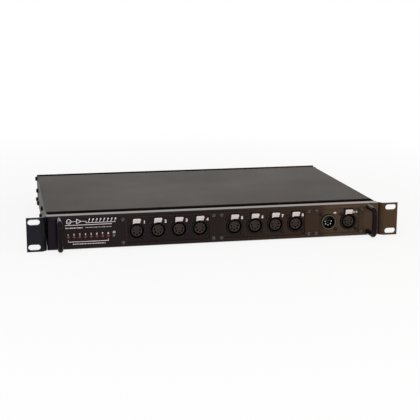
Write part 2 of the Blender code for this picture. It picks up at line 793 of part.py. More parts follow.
def female_shell_mesh():
    proud = plate_front - SHELL_PROUD
    at = Matrix.Translation((0, 0, CONNECTOR_Z)) @ FRONT
    flange = boxes(((-flange_width / 2, flange_front, CONNECTOR_Z - FLANGE_LOW),
                    (flange_width / 2, flange_back, CONNECTOR_Z + FLANGE_HIGH)))
    barrel = rods((at, shell_ring, -SHELL_DEPTH, -proud), segments=BARREL_SIDES)
    pocket_end = plate_front - LATCH_PROUD + LATCH_THICK + LATCH_STEM + LATCH_TRAVEL + LATCH_SPARE
    house = boxes(latch_house(0, 0, proud + GAP, pocket_end + LATCH_HOUSE_WALL))
    bore = rods((at, SHELL_BORE, -SHELL_BORE_DEPTH, CUT_PAST), segments=BARREL_SIDES)
    back_bore = rods((at, INSERT_RADIUS + GAP, -SHELL_DEPTH - CUT_PAST, CUT_PAST), segments=CORE_SIDES)
    half = LATCH_WIDTH / 2 + GAP
    pocket = boxes(((-half, -CUT_PAST, CONNECTOR_Z + LATCH_LOW - GAP),
                    (half, pocket_end, CONNECTOR_Z + LATCH_HIGH + GAP)))
    mesh = joined_and_cut([flange, barrel, house, shell_screws()], [bore, back_bore, pocket])
    smooth_round(mesh)
    return mesh


def contact_places(radius):
    step = 2 * pi / 7
    first = -pi / 2 - (CONTACTS - 1) / 2 * step
    return [(radius * cos(first + k * step), radius * sin(first + k * step)) for k in range(CONTACTS)]


def female_insert_mesh():
    at = Matrix.Translation((0, 0, CONNECTOR_Z)) @ FRONT
    front = plate_front - SHELL_PROUD + INSERT_RECESS
    core = rods((at, INSERT_RADIUS, -SHELL_DEPTH, -front), segments=CORE_SIDES)
    holes = rods(*[front_hole(x, CONNECTOR_Z + z, CONTACT_HOLE) for x, z in contact_places(CONTACT_CIRCLE)])
    mesh = joined_and_cut([core], [holes])
    smooth_round(mesh)
    return mesh


def latch_mesh():
    # Origin on the latch's slide axis, at the front of its tab
    front = plate_front - LATCH_PROUD
    middle = (LATCH_LOW + LATCH_HIGH) / 2
    half = (LATCH_HIGH - LATCH_LOW) / 2
    tab = boxes(((-LATCH_WIDTH / 2, 0, -half), (LATCH_WIDTH / 2, LATCH_THICK, half)))
    stem = boxes(((-LATCH_WIDTH / 4, LATCH_THICK / 2, -half / 2),
                  (LATCH_WIDTH / 4, LATCH_THICK + LATCH_STEM, half / 2)))
    return joined_and_cut([tab, stem], []), Vector((0, front, CONNECTOR_Z + middle))


def build_connectors(parts, root, paint, plastic, nickel):
    shell = female_shell_mesh()
    insert = female_insert_mesh()
    latch, latch_place = latch_mesh()
    centres = connector_centres()
    outlets = [(str(k + 1), x) for k, x in enumerate(centres[:CHANNELS])] + [("thru", centres[-1])]
    for label, x in outlets:
        add_object("xlr_shell_" + label, shell, paint, parts, root).location.x = x
        add_object("xlr_insert_" + label, insert, plastic, parts, root).location.x = x
        tab = add_object("push_latch_" + label, latch, nickel, parts, root)
        tab.location = latch_place + Vector((x, 0, 0))


def build_input(parts, root, paint, silver):
    x = input_centre()
    at = Matrix.Translation((0, 0, CONNECTOR_Z)) @ FRONT
    flange = boxes(((-flange_width / 2, flange_front, CONNECTOR_Z - FLANGE_LOW),
                    (flange_width / 2, flange_back, CONNECTOR_Z + FLANGE_LOW)))
    barrel = rods((at, male_ring, -SHELL_DEPTH, -(plate_front - MALE_PROUD)), segments=BARREL_SIDES)
    bore = rods((at, MALE_BORE, -SHELL_DEPTH - CUT_PAST, CUT_PAST), segments=BARREL_SIDES)
    shell = joined_and_cut([flange, barrel, shell_screws()], [bore])
    smooth_round(shell)
    add_object("xlr_male_shell", shell, paint, parts, root).location.x = x
    floor = rods((at, MALE_BORE - GAP, -SHELL_DEPTH, -MALE_FLOOR), segments=BARREL_SIDES)
    pins = rods(*[(Matrix.Translation((px, 0, CONNECTOR_Z + pz)) @ FRONT, PIN_RADIUS,
                   -SHELL_DEPTH, -PIN_TIP) for px, pz in contact_places(CONTACT_CIRCLE)])
    insert = joined_and_cut([floor, pins], [])
    smooth_round(insert)
    add_object("xlr_male_insert", insert, silver, parts, root).location.x = x


def build_lamps(parts, root, board):
    # Nine lamps stand on one small board and look out of the panel
    dome = [(LAMP_RADIUS * sin(a), PANEL_FACE - LAMP_PROUD - LAMP_RADIUS * cos(a) + LAMP_RADIUS)
            for a in (0, pi / 4, pi / 2)]
    collar = LAMP_RADIUS + LAMP_COLLAR
    foot = LAMP_BOARD + BOARD / 2
    profile = [(r, -y) for r, y in dome]
    profile += [(LAMP_RADIUS, -panel_back - GAP), (collar, -panel_back - GAP), (collar, -foot), (0, -foot)]
    lamps = copies(turned(profile, SCREW_SIDES), [Matrix.Translation((lamp_x(k), 0, LAMP_Z)) @ FRONT
                                                  for k in range(LAMP_COUNT)])
    low, high = LAMP_BOARD_LEVELS
    sheet = boxes(((lamp_x(0) - LAMP_BOARD_MARGIN, LAMP_BOARD, low),
                   (lamp_x(LAMP_COUNT - 1) + LAMP_BOARD_MARGIN, LAMP_BOARD + BOARD, high)))
    mesh = joined_and_cut([sheet, lamps], [])
    smooth_round(mesh)
    add_object("lamp_board", mesh, board, parts, root)


def build_boards(parts, cutters, root, board, grey):
    back = SHELL_DEPTH + GAP
    level = CONNECTOR_Z - CONNECTOR_BOARD_HEIGHT / 2
    top = MAIN_BOARD_Z + BOARD
    for number, (middle, ways, half, reach) in enumerate(window_row(), start=1):
        sheet = boxes(((middle - half, back, level),
                       (middle + half, back + BOARD, level + CONNECTOR_BOARD_HEIGHT)))
        add_object("connector_board_%d" % number, sheet, board, parts, root)
        ribbon = ribbon_mesh(middle, back + BOARD + GAP, MAIN_BOARD_FRONT + RIBBON_LANDING, top + GAP)
        add_object("ribbon_cable_%d" % number, ribbon, grey, parts, root)
    half = half_width - MAIN_BOARD_SIDE_ROOM
    sheet = boxes(((-half, MAIN_BOARD_FRONT, MAIN_BOARD_Z), (half, main_board_end, top)))
    blocks = []
    base = MAIN_BOARD_Z + BOARD / 2
    for k in range(CHANNELS):
        x = (k - (CHANNELS - 1) / 2) * CHANNEL_PITCH
        for (width, depth, height), y in ((CONVERTER, CONVERTER_Y), (DRIVER_CHIP, DRIVER_Y),
                                          (DRIVER_CHIP, RECEIVER_Y)):
            blocks.append(((x - width / 2, y - depth / 2, base),
                           (x + width / 2, y + depth / 2, top + height)))
    radius, height = CAPACITOR
    cans = rods(*[(Matrix.Translation((x, main_board_end - CAPACITOR_INSET, 0)), radius, base, top + height)
                  for x in CAPACITOR_X])
    solid = joined_and_cut([sheet, boxes(*blocks), cans], [])
    main_board = add_object("main_board", solid, board, parts, root)
    holes = rods(*[(Matrix.Translation((x, y, 0)), STANDOFF_PIN + GAP, -half_height, 0)
                   for x, y in standoff_places()])
    carve(main_board, holes, "main_board_holes", cutters, root)


def ribbon_mesh(x, start, end, base):
    # A flat cable that leaves a connector board level and lands on the main board
    drop = CONNECTOR_Z + RIBBON_RISE
    line = []
    for k in range(RIBBON_STEPS + 1):
        t = k / RIBBON_STEPS
        fall = (1 - cos(pi * t)) / 2
        line.append((start + (end - start) * t, drop + (base + RIBBON_SHEET - drop) * fall))
    outline = line + [(y, z - RIBBON_SHEET) for y, z in reversed(line)]
    return slab(outline, RIBBON_WIDTH, Matrix.Translation((x, 0, 0)) @ ACROSS)


def build_transformer(parts, root, iron):
    # Mounting strap, laminated core, and a coil that stands out of it at the front and back
    x, y = TRANSFORMER_X, transformer_y
    low = tray_floor + GAP
    lift = (TRANSFORMER_CORE[2] - TRANSFORMER_COIL[2]) / 2
    blocks = []
    for (width, depth, height), base in ((TRANSFORMER_CORE, low), (TRANSFORMER_COIL, low + lift),
                                         (TRANSFORMER_FEET, low)):
        blocks.append(boxes(((x - width / 2, y - depth / 2, base),
                             (x + width / 2, y + depth / 2, base + height))))
    holes = rods(*[(Matrix.Translation((px, py, 0)), SCREW_HOLE, -half_height, 0)
                   for px, py in transformer_screw_places()])
    add_object("mains_transformer", joined_and_cut(blocks, [holes]), iron, parts, root)


def build_inlet(parts, root, plastic):
    outer = BODY_DEPTH + GAP
    half = [v / 2 - GAP for v in INLET_OPENING]
    flange_w, flange_h, flange_t = INLET_FLANGE
    body = boxes(((INLET_X - half[0], outer - INLET_WALL_DEPTH, -half[1]),
                  (INLET_X + half[0], outer + flange_t / 2, half[1])))
    flange = slab(rounded_rectangle((INLET_X, 0), flange_w, flange_h, INLET_CORNER), flange_t,
                  Matrix.Translation((0, outer + flange_t / 2, 0)) @ FRONT)
    socket_w, socket_h, socket_d = INLET_SOCKET
    face = outer + flange_t
    socket = boxes(((INLET_X - socket_w / 2, face - socket_d, -socket_h / 2),
                    (INLET_X + socket_w / 2, face + CUT_PAST, socket_h / 2)))
    holes = rods(*[(Matrix.Translation((INLET_X + side * INLET_SCREW_SPREAD / 2, BODY_DEPTH, 0)) @ REAR,
                    SCREW_HOLE, -DRILL_DEPTH, DRILL_DEPTH) for side in (-1, 1)])
    housing = joined_and_cut([body, flange], [socket, holes])
    thick, tall = INLET_PIN
    blades = []
    for column, side in ((-1, -1), (0, 1), (1, -1)):
        x, z = INLET_X + column * INLET_PIN_SPREAD, side * INLET_PIN_OFFSET
        blades.append(((x - thick / 2, face - socket_d - INLET_PIN_RECESS, z - tall / 2),
                       (x + thick / 2, face - INLET_PIN_RECESS, z + tall / 2)))
    add_object("mains_inlet", joined_and_cut([housing, boxes(*blades)], []), plastic, parts, root)


def build_switch(parts, root, plastic, gloss):
    outer = BODY_DEPTH + GAP
    bezel_w, bezel_h, bezel_t = SWITCH_BEZEL
    half = [v / 2 - GAP for v in SWITCH_OPENING]
    bezel = boxes(((SWITCH_X - bezel_w / 2, outer, -bezel_h / 2),
                   (SWITCH_X + bezel_w / 2, outer + bezel_t, bezel_h / 2)))
    body = boxes(((SWITCH_X - half[0], outer - SWITCH_DEPTH, -half[1]),
                  (SWITCH_X + half[0], outer + bezel_t / 2, half[1])))
    mouth = [v - SWITCH_WALL for v in half]
    well = boxes(((SWITCH_X - mouth[0], outer - SWITCH_DEPTH + SWITCH_WALL, -mouth[1]),
                  (SWITCH_X + mouth[0], outer + bezel_t + CUT_PAST, mouth[1])))
    add_object("switch_frame", joined_and_cut([bezel, body], [well]), plastic, parts, root)
    # Seen along its axle, the rocker has a round back and a shallow V for a face
    reach = mouth[0] - 2 * GAP
    axle_y = outer + bezel_t - ROCKER_AXLE_INSET
    angle = radians(ROCKER_FACE_ANGLE)
    corner = (reach * cos(angle), reach * sin(angle))
    outline = [(-corner[0], corner[1]), (0, corner[1] - corner[0] * sin(radians(ROCKER_TILT))), corner][::-1]
    outline += arc((0, 0), reach, 180 - ROCKER_FACE_ANGLE, 180, 2)[1:]
    across, down = reach * ROCKER_BACK[0], ROCKER_DEPTH * ROCKER_BACK[1]
    outline += [(-across, -down), (0, -ROCKER_DEPTH), (across, -down)]
    outline += arc((0, 0), reach, 0, ROCKER_FACE_ANGLE, 2)[:-1]
    mesh = slab(outline, 2 * (mouth[1] - GAP), Matrix.Identity(4))
    rocker = add_object("switch_rocker", mesh, gloss, parts, root)
    rocker.location = (SWITCH_X, axle_y, 0)
    rocker.rotation_euler.z = radians(ROCKER_TILT)


def stand_on_origin(root, parts):
    # The base's middle goes to the origin, whatever the sizes are
    bpy.context.view_layer.update()
    graph = bpy.context.evaluated_depsgraph_get()
    depths = []
    floor = []
    for thing in parts.objects:
        shape = thing.evaluated_get(graph)
        corners = [thing.matrix_world @ v.co for v in shape.data.vertices]
        depths += [c.y for c in corners]
        floor += [c.z for c in corners]
    root.location = (0, -(min(depths) + max(depths)) / 2, -min(floor))


def main():
    clear_scene()
    parts = make_collection("dmx_splitter")
    cutters = make_collection("cutters")
    root = bpy.data.objects.new("case_frame", None)
    make_collection("frame").objects.link(root)
    paint = make_material("black_panel_paint", (0.018, 0.017, 0.018), 0.35)
    cover_paint = make_material("cover_paint", (0.035, 0.033, 0.031), 0.50)
    ear_paint = make_material("ear_paint", (0.017, 0.016, 0.018), 0.42)
    anodised = make_material("black_anodised", (0.015, 0.014, 0.013), 0.50, 0.4)
    tray_paint = make_material("tray_paint", (0.020, 0.019, 0.018), 0.50)
    rod_paint = make_material("handle_gloss_black", (0.010, 0.010, 0.010), 0.15)
    shell_metal = make_material("connector_black", (0.020, 0.020, 0.020), 0.40)
    insert_plastic = make_material("insert_plastic", (0.060, 0.055, 0.050), 0.55)
    latch_metal = make_material("latch_nickel", (0.75, 0.74, 0.72), 0.30, 1.0)
    pin_metal = make_material("pin_silver", (0.80, 0.78, 0.74), 0.25, 1.0)
    board = make_material("board_green", (0.010, 0.080, 0.030), 0.45)
    ribbon = make_material("ribbon_grey", (0.35, 0.35, 0.36), 0.60)
    iron = make_material("transformer_iron", (0.20, 0.19, 0.18), 0.55, 0.8)
    inlet = make_material("inlet_plastic", (0.015, 0.015, 0.015), 0.45)
    rocker = make_material("rocker_plastic", (0.020, 0.020, 0.020), 0.25)

    build_front_panel(parts, cutters, root, paint)
    build_cover(parts, cutters, root, cover_paint)
    build_tray(parts, cutters, root, tray_paint)
    build_rails(parts, cutters, root, anodised)
    build_rear_panel(parts, cutters, root, paint)
    build_ears(parts, cutters, root, ear_paint)
    build_handles(parts, root, rod_paint)
    build_plates(parts, cutters, root, paint)
    build_connectors(parts, root, shell_metal, insert_plastic, latch_metal)
    build_input(parts, root, shell_metal, pin_metal)
    build_lamps(parts, root, board)
    build_boards(parts, cutters, root, board, ribbon)
    build_transformer(parts, root, iron)
    build_inlet(parts, root, inlet)
    build_switch(parts, root, inlet, rocker)
    stand_on_origin(root, parts)


main()
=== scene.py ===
from math import cos, degrees, pi, radians, sin

import bmesh
import bpy
from mathutils import Matrix, Vector


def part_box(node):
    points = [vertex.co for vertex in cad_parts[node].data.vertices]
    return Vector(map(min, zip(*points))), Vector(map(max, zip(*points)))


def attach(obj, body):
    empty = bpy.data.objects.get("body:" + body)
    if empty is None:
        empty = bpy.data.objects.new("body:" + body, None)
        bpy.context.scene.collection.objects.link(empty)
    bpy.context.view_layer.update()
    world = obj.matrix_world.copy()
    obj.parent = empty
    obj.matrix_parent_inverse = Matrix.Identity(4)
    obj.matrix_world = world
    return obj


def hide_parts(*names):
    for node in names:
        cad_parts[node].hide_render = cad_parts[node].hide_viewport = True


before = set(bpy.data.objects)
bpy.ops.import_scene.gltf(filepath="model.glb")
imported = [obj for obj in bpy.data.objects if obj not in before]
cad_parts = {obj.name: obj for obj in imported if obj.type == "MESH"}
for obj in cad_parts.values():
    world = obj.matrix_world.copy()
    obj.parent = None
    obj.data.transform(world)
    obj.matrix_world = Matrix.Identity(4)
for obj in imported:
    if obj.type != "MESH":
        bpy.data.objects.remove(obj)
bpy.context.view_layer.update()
scene = bpy.context.scene
print("frame loaded:", len(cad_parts), "solids")

# everything is drawn in millimetres from the middle of the rack ears' front face:
# X to the right, Y to the back, Z up; home puts it on the solids
millimetre = 0.001
earLow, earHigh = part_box("ear_left")
home = Matrix.Translation((0, earLow.y, (earLow.z + earHigh.z) / 2)) @ Matrix.Scale(millimetre, 4)
toFront = Matrix.Rotation(radians(90), 4, "X")  # local Z out of the front, local Y up
toRear = Matrix.Rotation(pi, 4, "Z") @ toFront
toLeft = Matrix.Rotation(radians(-90), 4, "Y")
toRight = Matrix.Rotation(radians(90), 4, "Y")
toBelow = Matrix.Rotation(pi, 4, "X")
alongWidth = Matrix(((0, 0, 1, 0), (1, 0, 0, 0), (0, 1, 0, 0), (0, 0, 0, 1)))  # outline in YZ, drawn out along X

caseSize = dict(halfWidth=216.3, halfHeight=21.5, depth=295.0, gap=0.3, screwHole=1.8)
halfWidth, halfHeight, depth, gap, screwHole = caseSize.values()

weldGap = 0.0005  # corners nearer than this become one
edgeAngle = 50  # degrees between faces from which shaped() breaks an edge
sharpAngle = 38  # and from which shading shows it
throughFront = (-12, 12)  # from and to for a cutter that goes right through the front


# mesh helpers
def moved(x, y, z):
    return Matrix.Translation((x, y, z))


def facing(x, y, z):  # a place whose local Z looks out of the front
    return moved(x, y, z) @ toFront


def spun(angle):
    return Matrix.Rotation(radians(angle), 4, "Z")


def meshOf(bm, place=None):
    bmesh.ops.remove_doubles(bm, verts=bm.verts, dist=weldGap)
    bmesh.ops.recalc_face_normals(bm, faces=bm.faces)
    mesh = bpy.data.meshes.new("solid")
    bm.to_mesh(mesh)
    bm.free()
    if place:
        mesh.transform(place)
    return mesh


def helper(data):
    thing = bpy.data.objects.new("helper", data)
    scene.collection.objects.link(thing)
    return thing


def baked(thing, place=None):  # the mesh that a helper's modifiers leave
    bpy.context.view_layer.update()
    graph = bpy.context.evaluated_depsgraph_get()
    bm = bmesh.new()
    bm.from_mesh(bpy.data.meshes.new_from_object(thing.evaluated_get(graph)))
    bpy.data.objects.remove(thing, do_unlink=True)
    return meshOf(bm, place)


def together(*meshes):
    bm = bmesh.new()
    for mesh in meshes:
        bm.from_mesh(mesh)
    return meshOf(bm)


def copies(mesh, places):  # one mesh at many places, as one mesh
    bm = bmesh.new()
    for place in places:
        single = mesh.copy()
        single.transform(place)
        bm.from_mesh(single)
        bpy.data.meshes.remove(single)
    return meshOf(bm)


def blockMesh(low, high, edge=0.0, steps=2):
    bm = bmesh.new()
    middle = [(a + b) / 2 for a, b in zip(low, high)]
    size = [b - a for a, b in zip(low, high)]
    bmesh.ops.create_cube(bm, size=1, matrix=moved(*middle) @ Matrix.Diagonal((*size, 1)))
    if edge:
        bmesh.ops.bevel(bm, geom=bm.edges[:], offset=edge, segments=steps, profile=0.5, affect="EDGES")
    return meshOf(bm)


def slabMesh(width, run, low, high, edge=0.0, steps=2):  # a block centred on the local Z axis
    return blockMesh((-width / 2, -run / 2, low), (width / 2, run / 2, high), edge, steps)


def uprightMesh(x, width, height, front, back, edge):  # a block centred on a line from front to back
    return blockMesh((x - width / 2, front, -height / 2), (x + width / 2, back, height / 2), edge)


def turnedMesh(profile, steps=48, place=None):  # (radius, height) pairs; a loop if it starts off the axis
    onAxis = 1e-6
    bm = bmesh.new()
    rings = []
    for radius, height in profile:
        turn = [2 * pi * k / steps for k in range(steps if radius > onAxis else 1)]
        rings.append([bm.verts.new((radius * cos(a), radius * sin(a), height)) for a in turn])
    pairs = list(zip(rings, rings[1:]))
    if profile[0][0] > onAxis:
        pairs.append((rings[-1], rings[0]))
    for a, b in pairs:
        for k in range(steps):
            n = (k + 1) % steps
            corners = [a[k], a[n]] if len(a) > 1 else [a[0]]
            corners += [b[n], b[k]] if len(b) > 1 else [b[0]]
            bm.faces.new(corners)
    return meshOf(bm, place)


def crownPoints(x, level, wide, tall, steps):  # a quarter turn of an ellipse, from its top to its side
    turn = [radians(90 * k / steps) for k in range(steps + 1)]
    return [(x + wide * sin(a), level + tall * cos(a)) for a in turn]


def arcPoints(centre, radius, start, end, steps):
    turn = [radians(start + (end - start) * k / steps) for k in range(steps + 1)]
    return [(centre[0] + radius * cos(a), centre[1] + radius * sin(a)) for a in turn]


def roundedOutline(x, z, width, height, radius, steps=8):
    dx, dz = width / 2 - radius, height / 2 - radius
    points = []
    for sx, sz, start in ((1, 1, 0), (-1, 1, 90), (-1, -1, 180), (1, -1, 270)):
        points += arcPoints((x + sx * dx, z + sz * dz), radius, start, start + 90, steps)
    return points


def circleOutline(x, z, radius, steps=48):
    return arcPoints((x, z), radius, 0, 360 * (steps - 1) / steps, steps - 1)


def curveMesh(lines, closed, place=None, **settings):
    curve = bpy.data.curves.new("outline", "CURVE")
    for key, value in settings.items():
        setattr(curve, key, value)
    for points in lines:
        spline = curve.splines.new("POLY")
        spline.points.add(len(points) - 1)
        for point, spot in zip(spline.points, points):
            point.co = (*spot, 1)
        spline.use_cyclic_u = closed
    return baked(helper(curve), place)


def plateMesh(loops, thickness, place=None, edge=0.0, steps=1):  # flat outlines with holes, drawn out both ways
    flat = [[(x, y, 0) for x, y in points] for points in loops]
    return curveMesh(flat, True, place, dimensions="2D", fill_mode="BOTH", extrude=thickness / 2 - edge,
                     bevel_depth=edge, bevel_resolution=steps, offset=-edge)


def sheetMesh(loops, front, back, edge=0.0, steps=1):  # outlines seen from the front, drawn from one Y to another
    return plateMesh(loops, back - front, facing(0, (front + back) / 2, 0), edge, steps)


def drillMesh(places, radius, steps=32, length=24.0):  # straight drills, all in one cutter
    bm = bmesh.new()
    for place in places:
        bmesh.ops.create_cone(bm, cap_ends=True, segments=steps, radius1=radius, radius2=radius,
                              depth=length, matrix=place)
    return meshOf(bm)


def shaped(solids, cutters=(), edge=0.0, steps=2):  # joined, cut, and its sharp edges broken
    body = helper(solids[0])
    tools = []
    for operation, meshes in (("UNION", solids[1:]), ("DIFFERENCE", cutters)):
        for mesh in meshes:
            tools.append(helper(mesh))
            change = body.modifiers.new(operation, "BOOLEAN")
            change.operation = operation
            change.solver = "EXACT"
            change.object = tools[-1]
    if edge:
        soft = body.modifiers.new("edge", "BEVEL")
        soft.width = edge
        soft.segments = steps
        soft.limit_method = "ANGLE"
        soft.angle_limit = radians(edgeAngle)
    mesh = baked(body)
    for tool in tools:
        bpy.data.objects.remove(tool, do_unlink=True)
    return mesh


def mirrored(mesh):
    other = mesh.copy()
    other.transform(Matrix.Diagonal((-1, 1, 1, 1)))
    other.flip_normals()
    return other


def addPiece(name, mesh, look, slotName, node, shift=(0, 0, 0), body="case"):
    if not mesh.users:
        mesh.transform(home)
        mesh.materials.append(finish[look])
        mesh.shade_smooth()
        mesh.set_sharp_from_angle(angle=radians(sharpAngle))
    thing = bpy.data.objects.new(name, mesh)
    thing.location = Vector(shift) * millimetre
    scene.collection.objects.link(thing)
    even = thing.modifiers.new("evenShading", "WEIGHTED_NORMAL")
    even.keep_sharp = True
    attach(thing, body)
    if node:
        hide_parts(node)


# materials
def linear(hexColour):  # sRGB hex to the linear values that a shader takes
    channels = [int(hexColour[k:k + 2], 16) / 255 for k in (1, 3, 5)]
    return (*[c / 12.92 if c <= 0.04045 else ((c + 0.055) / 1.055) ** 2.4 for c in channels], 1.0)


def addNode(tree, kind, settings=None, links=None):  # settings are properties in lower case or input names
    node = tree.nodes.new("ShaderNode" + kind)
    for key, value in (settings or {}).items():
        if isinstance(key, str) and key[0].islower():
            setattr(node, key, value)
        else:
            node.inputs[key].default_value = value
    for key, source in (links or {}).items():
        tree.links.new(source, node.inputs[key])
    return node


def perMetre(spacing):  # a pattern's scale from its real spacing in millimetres
    return 1000 / spacing


def startMaterial(name, metallic=0.0, specular=0.5, tint="#ffffff", coat=0.0):
    material = bpy.data.materials.new(name)
    material.use_nodes = True
    tree = material.node_tree
    shader = tree.nodes["Principled BSDF"]
    for socket, value in (("Metallic", metallic), ("IOR", 1.5), ("Specular IOR Level", specular),
                          ("Specular Tint", linear(tint)), ("Coat Weight", coat), ("Coat Roughness", 0.1)):
        shader.inputs[socket].default_value = value
    return material, tree, shader, addNode(tree, "TexCoord").outputs["Object"]


def surface(name, colour, worn, patchMm, grainMm, grainStrength, roughness, drift, edge=None, paintedLightAlong=(), **shading):
    # patches of two near shades, a fine grain in height, and a slow drift in gloss
    material, tree, shader, where = startMaterial(name, **shading)
    patch = addNode(tree, "TexNoise", {"Scale": perMetre(patchMm), "Detail": 4.0}, {"Vector": where}).outputs["Fac"]
    shade = addNode(tree, "Mix", {"data_type": "RGBA", 6: linear(colour), 7: linear(worn)}, {0: patch})
    if edge:  # a pale edge, partly the coat worn thin on a corner and partly a painted highlight where edges catch the light: found where a rounded normal leaves the flat one
        paleEdgeTone, edgeMm, share = edge
        flat = addNode(tree, "NewGeometry").outputs["Normal"]
        rounded = addNode(tree, "Bevel", {"samples": 4, "Radius": edgeMm * millimetre}).outputs["Normal"]
        alike = addNode(tree, "VectorMath", {"operation": "DOT_PRODUCT"}, {0: flat, 1: rounded})
        wearAndHighlight = addNode(tree, "MapRange", {"From Min": 0.995, "From Max": 0.85, "To Max": share},
                       {"Value": alike.outputs["Value"]})
        shade = addNode(tree, "Mix", {"data_type": "RGBA", 7: linear(paleEdgeTone)},
                        {0: wearAndHighlight.outputs["Result"], 6: shade.outputs[2]})
    for paintedTone, start, end in paintedLightAlong:  # painted reflection and painted shade: the coat's colour shifts along the width, where the room's warm and cool sides would mirror in it and where the ear shades the panel's end
        across = addNode(tree, "SeparateXYZ", {}, {0: where}).outputs["X"]
        far = addNode(tree, "MapRange", {"interpolation_type": "SMOOTHSTEP", "From Min": start, "From Max": end},
                      {"Value": across})
        shade = addNode(tree, "Mix", {"data_type": "RGBA", 7: linear(paintedTone)},
                        {0: far.outputs["Result"], 6: shade.outputs[2]})
    gloss = addNode(tree, "MapRange", {"From Min": 0.3, "From Max": 0.7, "To Min": roughness - drift,
                                       "To Max": roughness + drift}, {"Value": patch})
    grain = addNode(tree, "TexNoise", {"Scale": perMetre(grainMm), "Detail": 2.0}, {"Vector": where})
    bump = addNode(tree, "Bump", {"Strength": grainStrength, "Distance": grainMm * 0.1 * millimetre},
                   {"Height": grain.outputs["Fac"]})
    for socket, source in (("Base Color", shade.outputs[2]), ("Roughness", gloss.outputs["Result"]),
                           ("Normal", bump.outputs["Normal"])):
        tree.links.new(source, shader.inputs[socket])
    return material


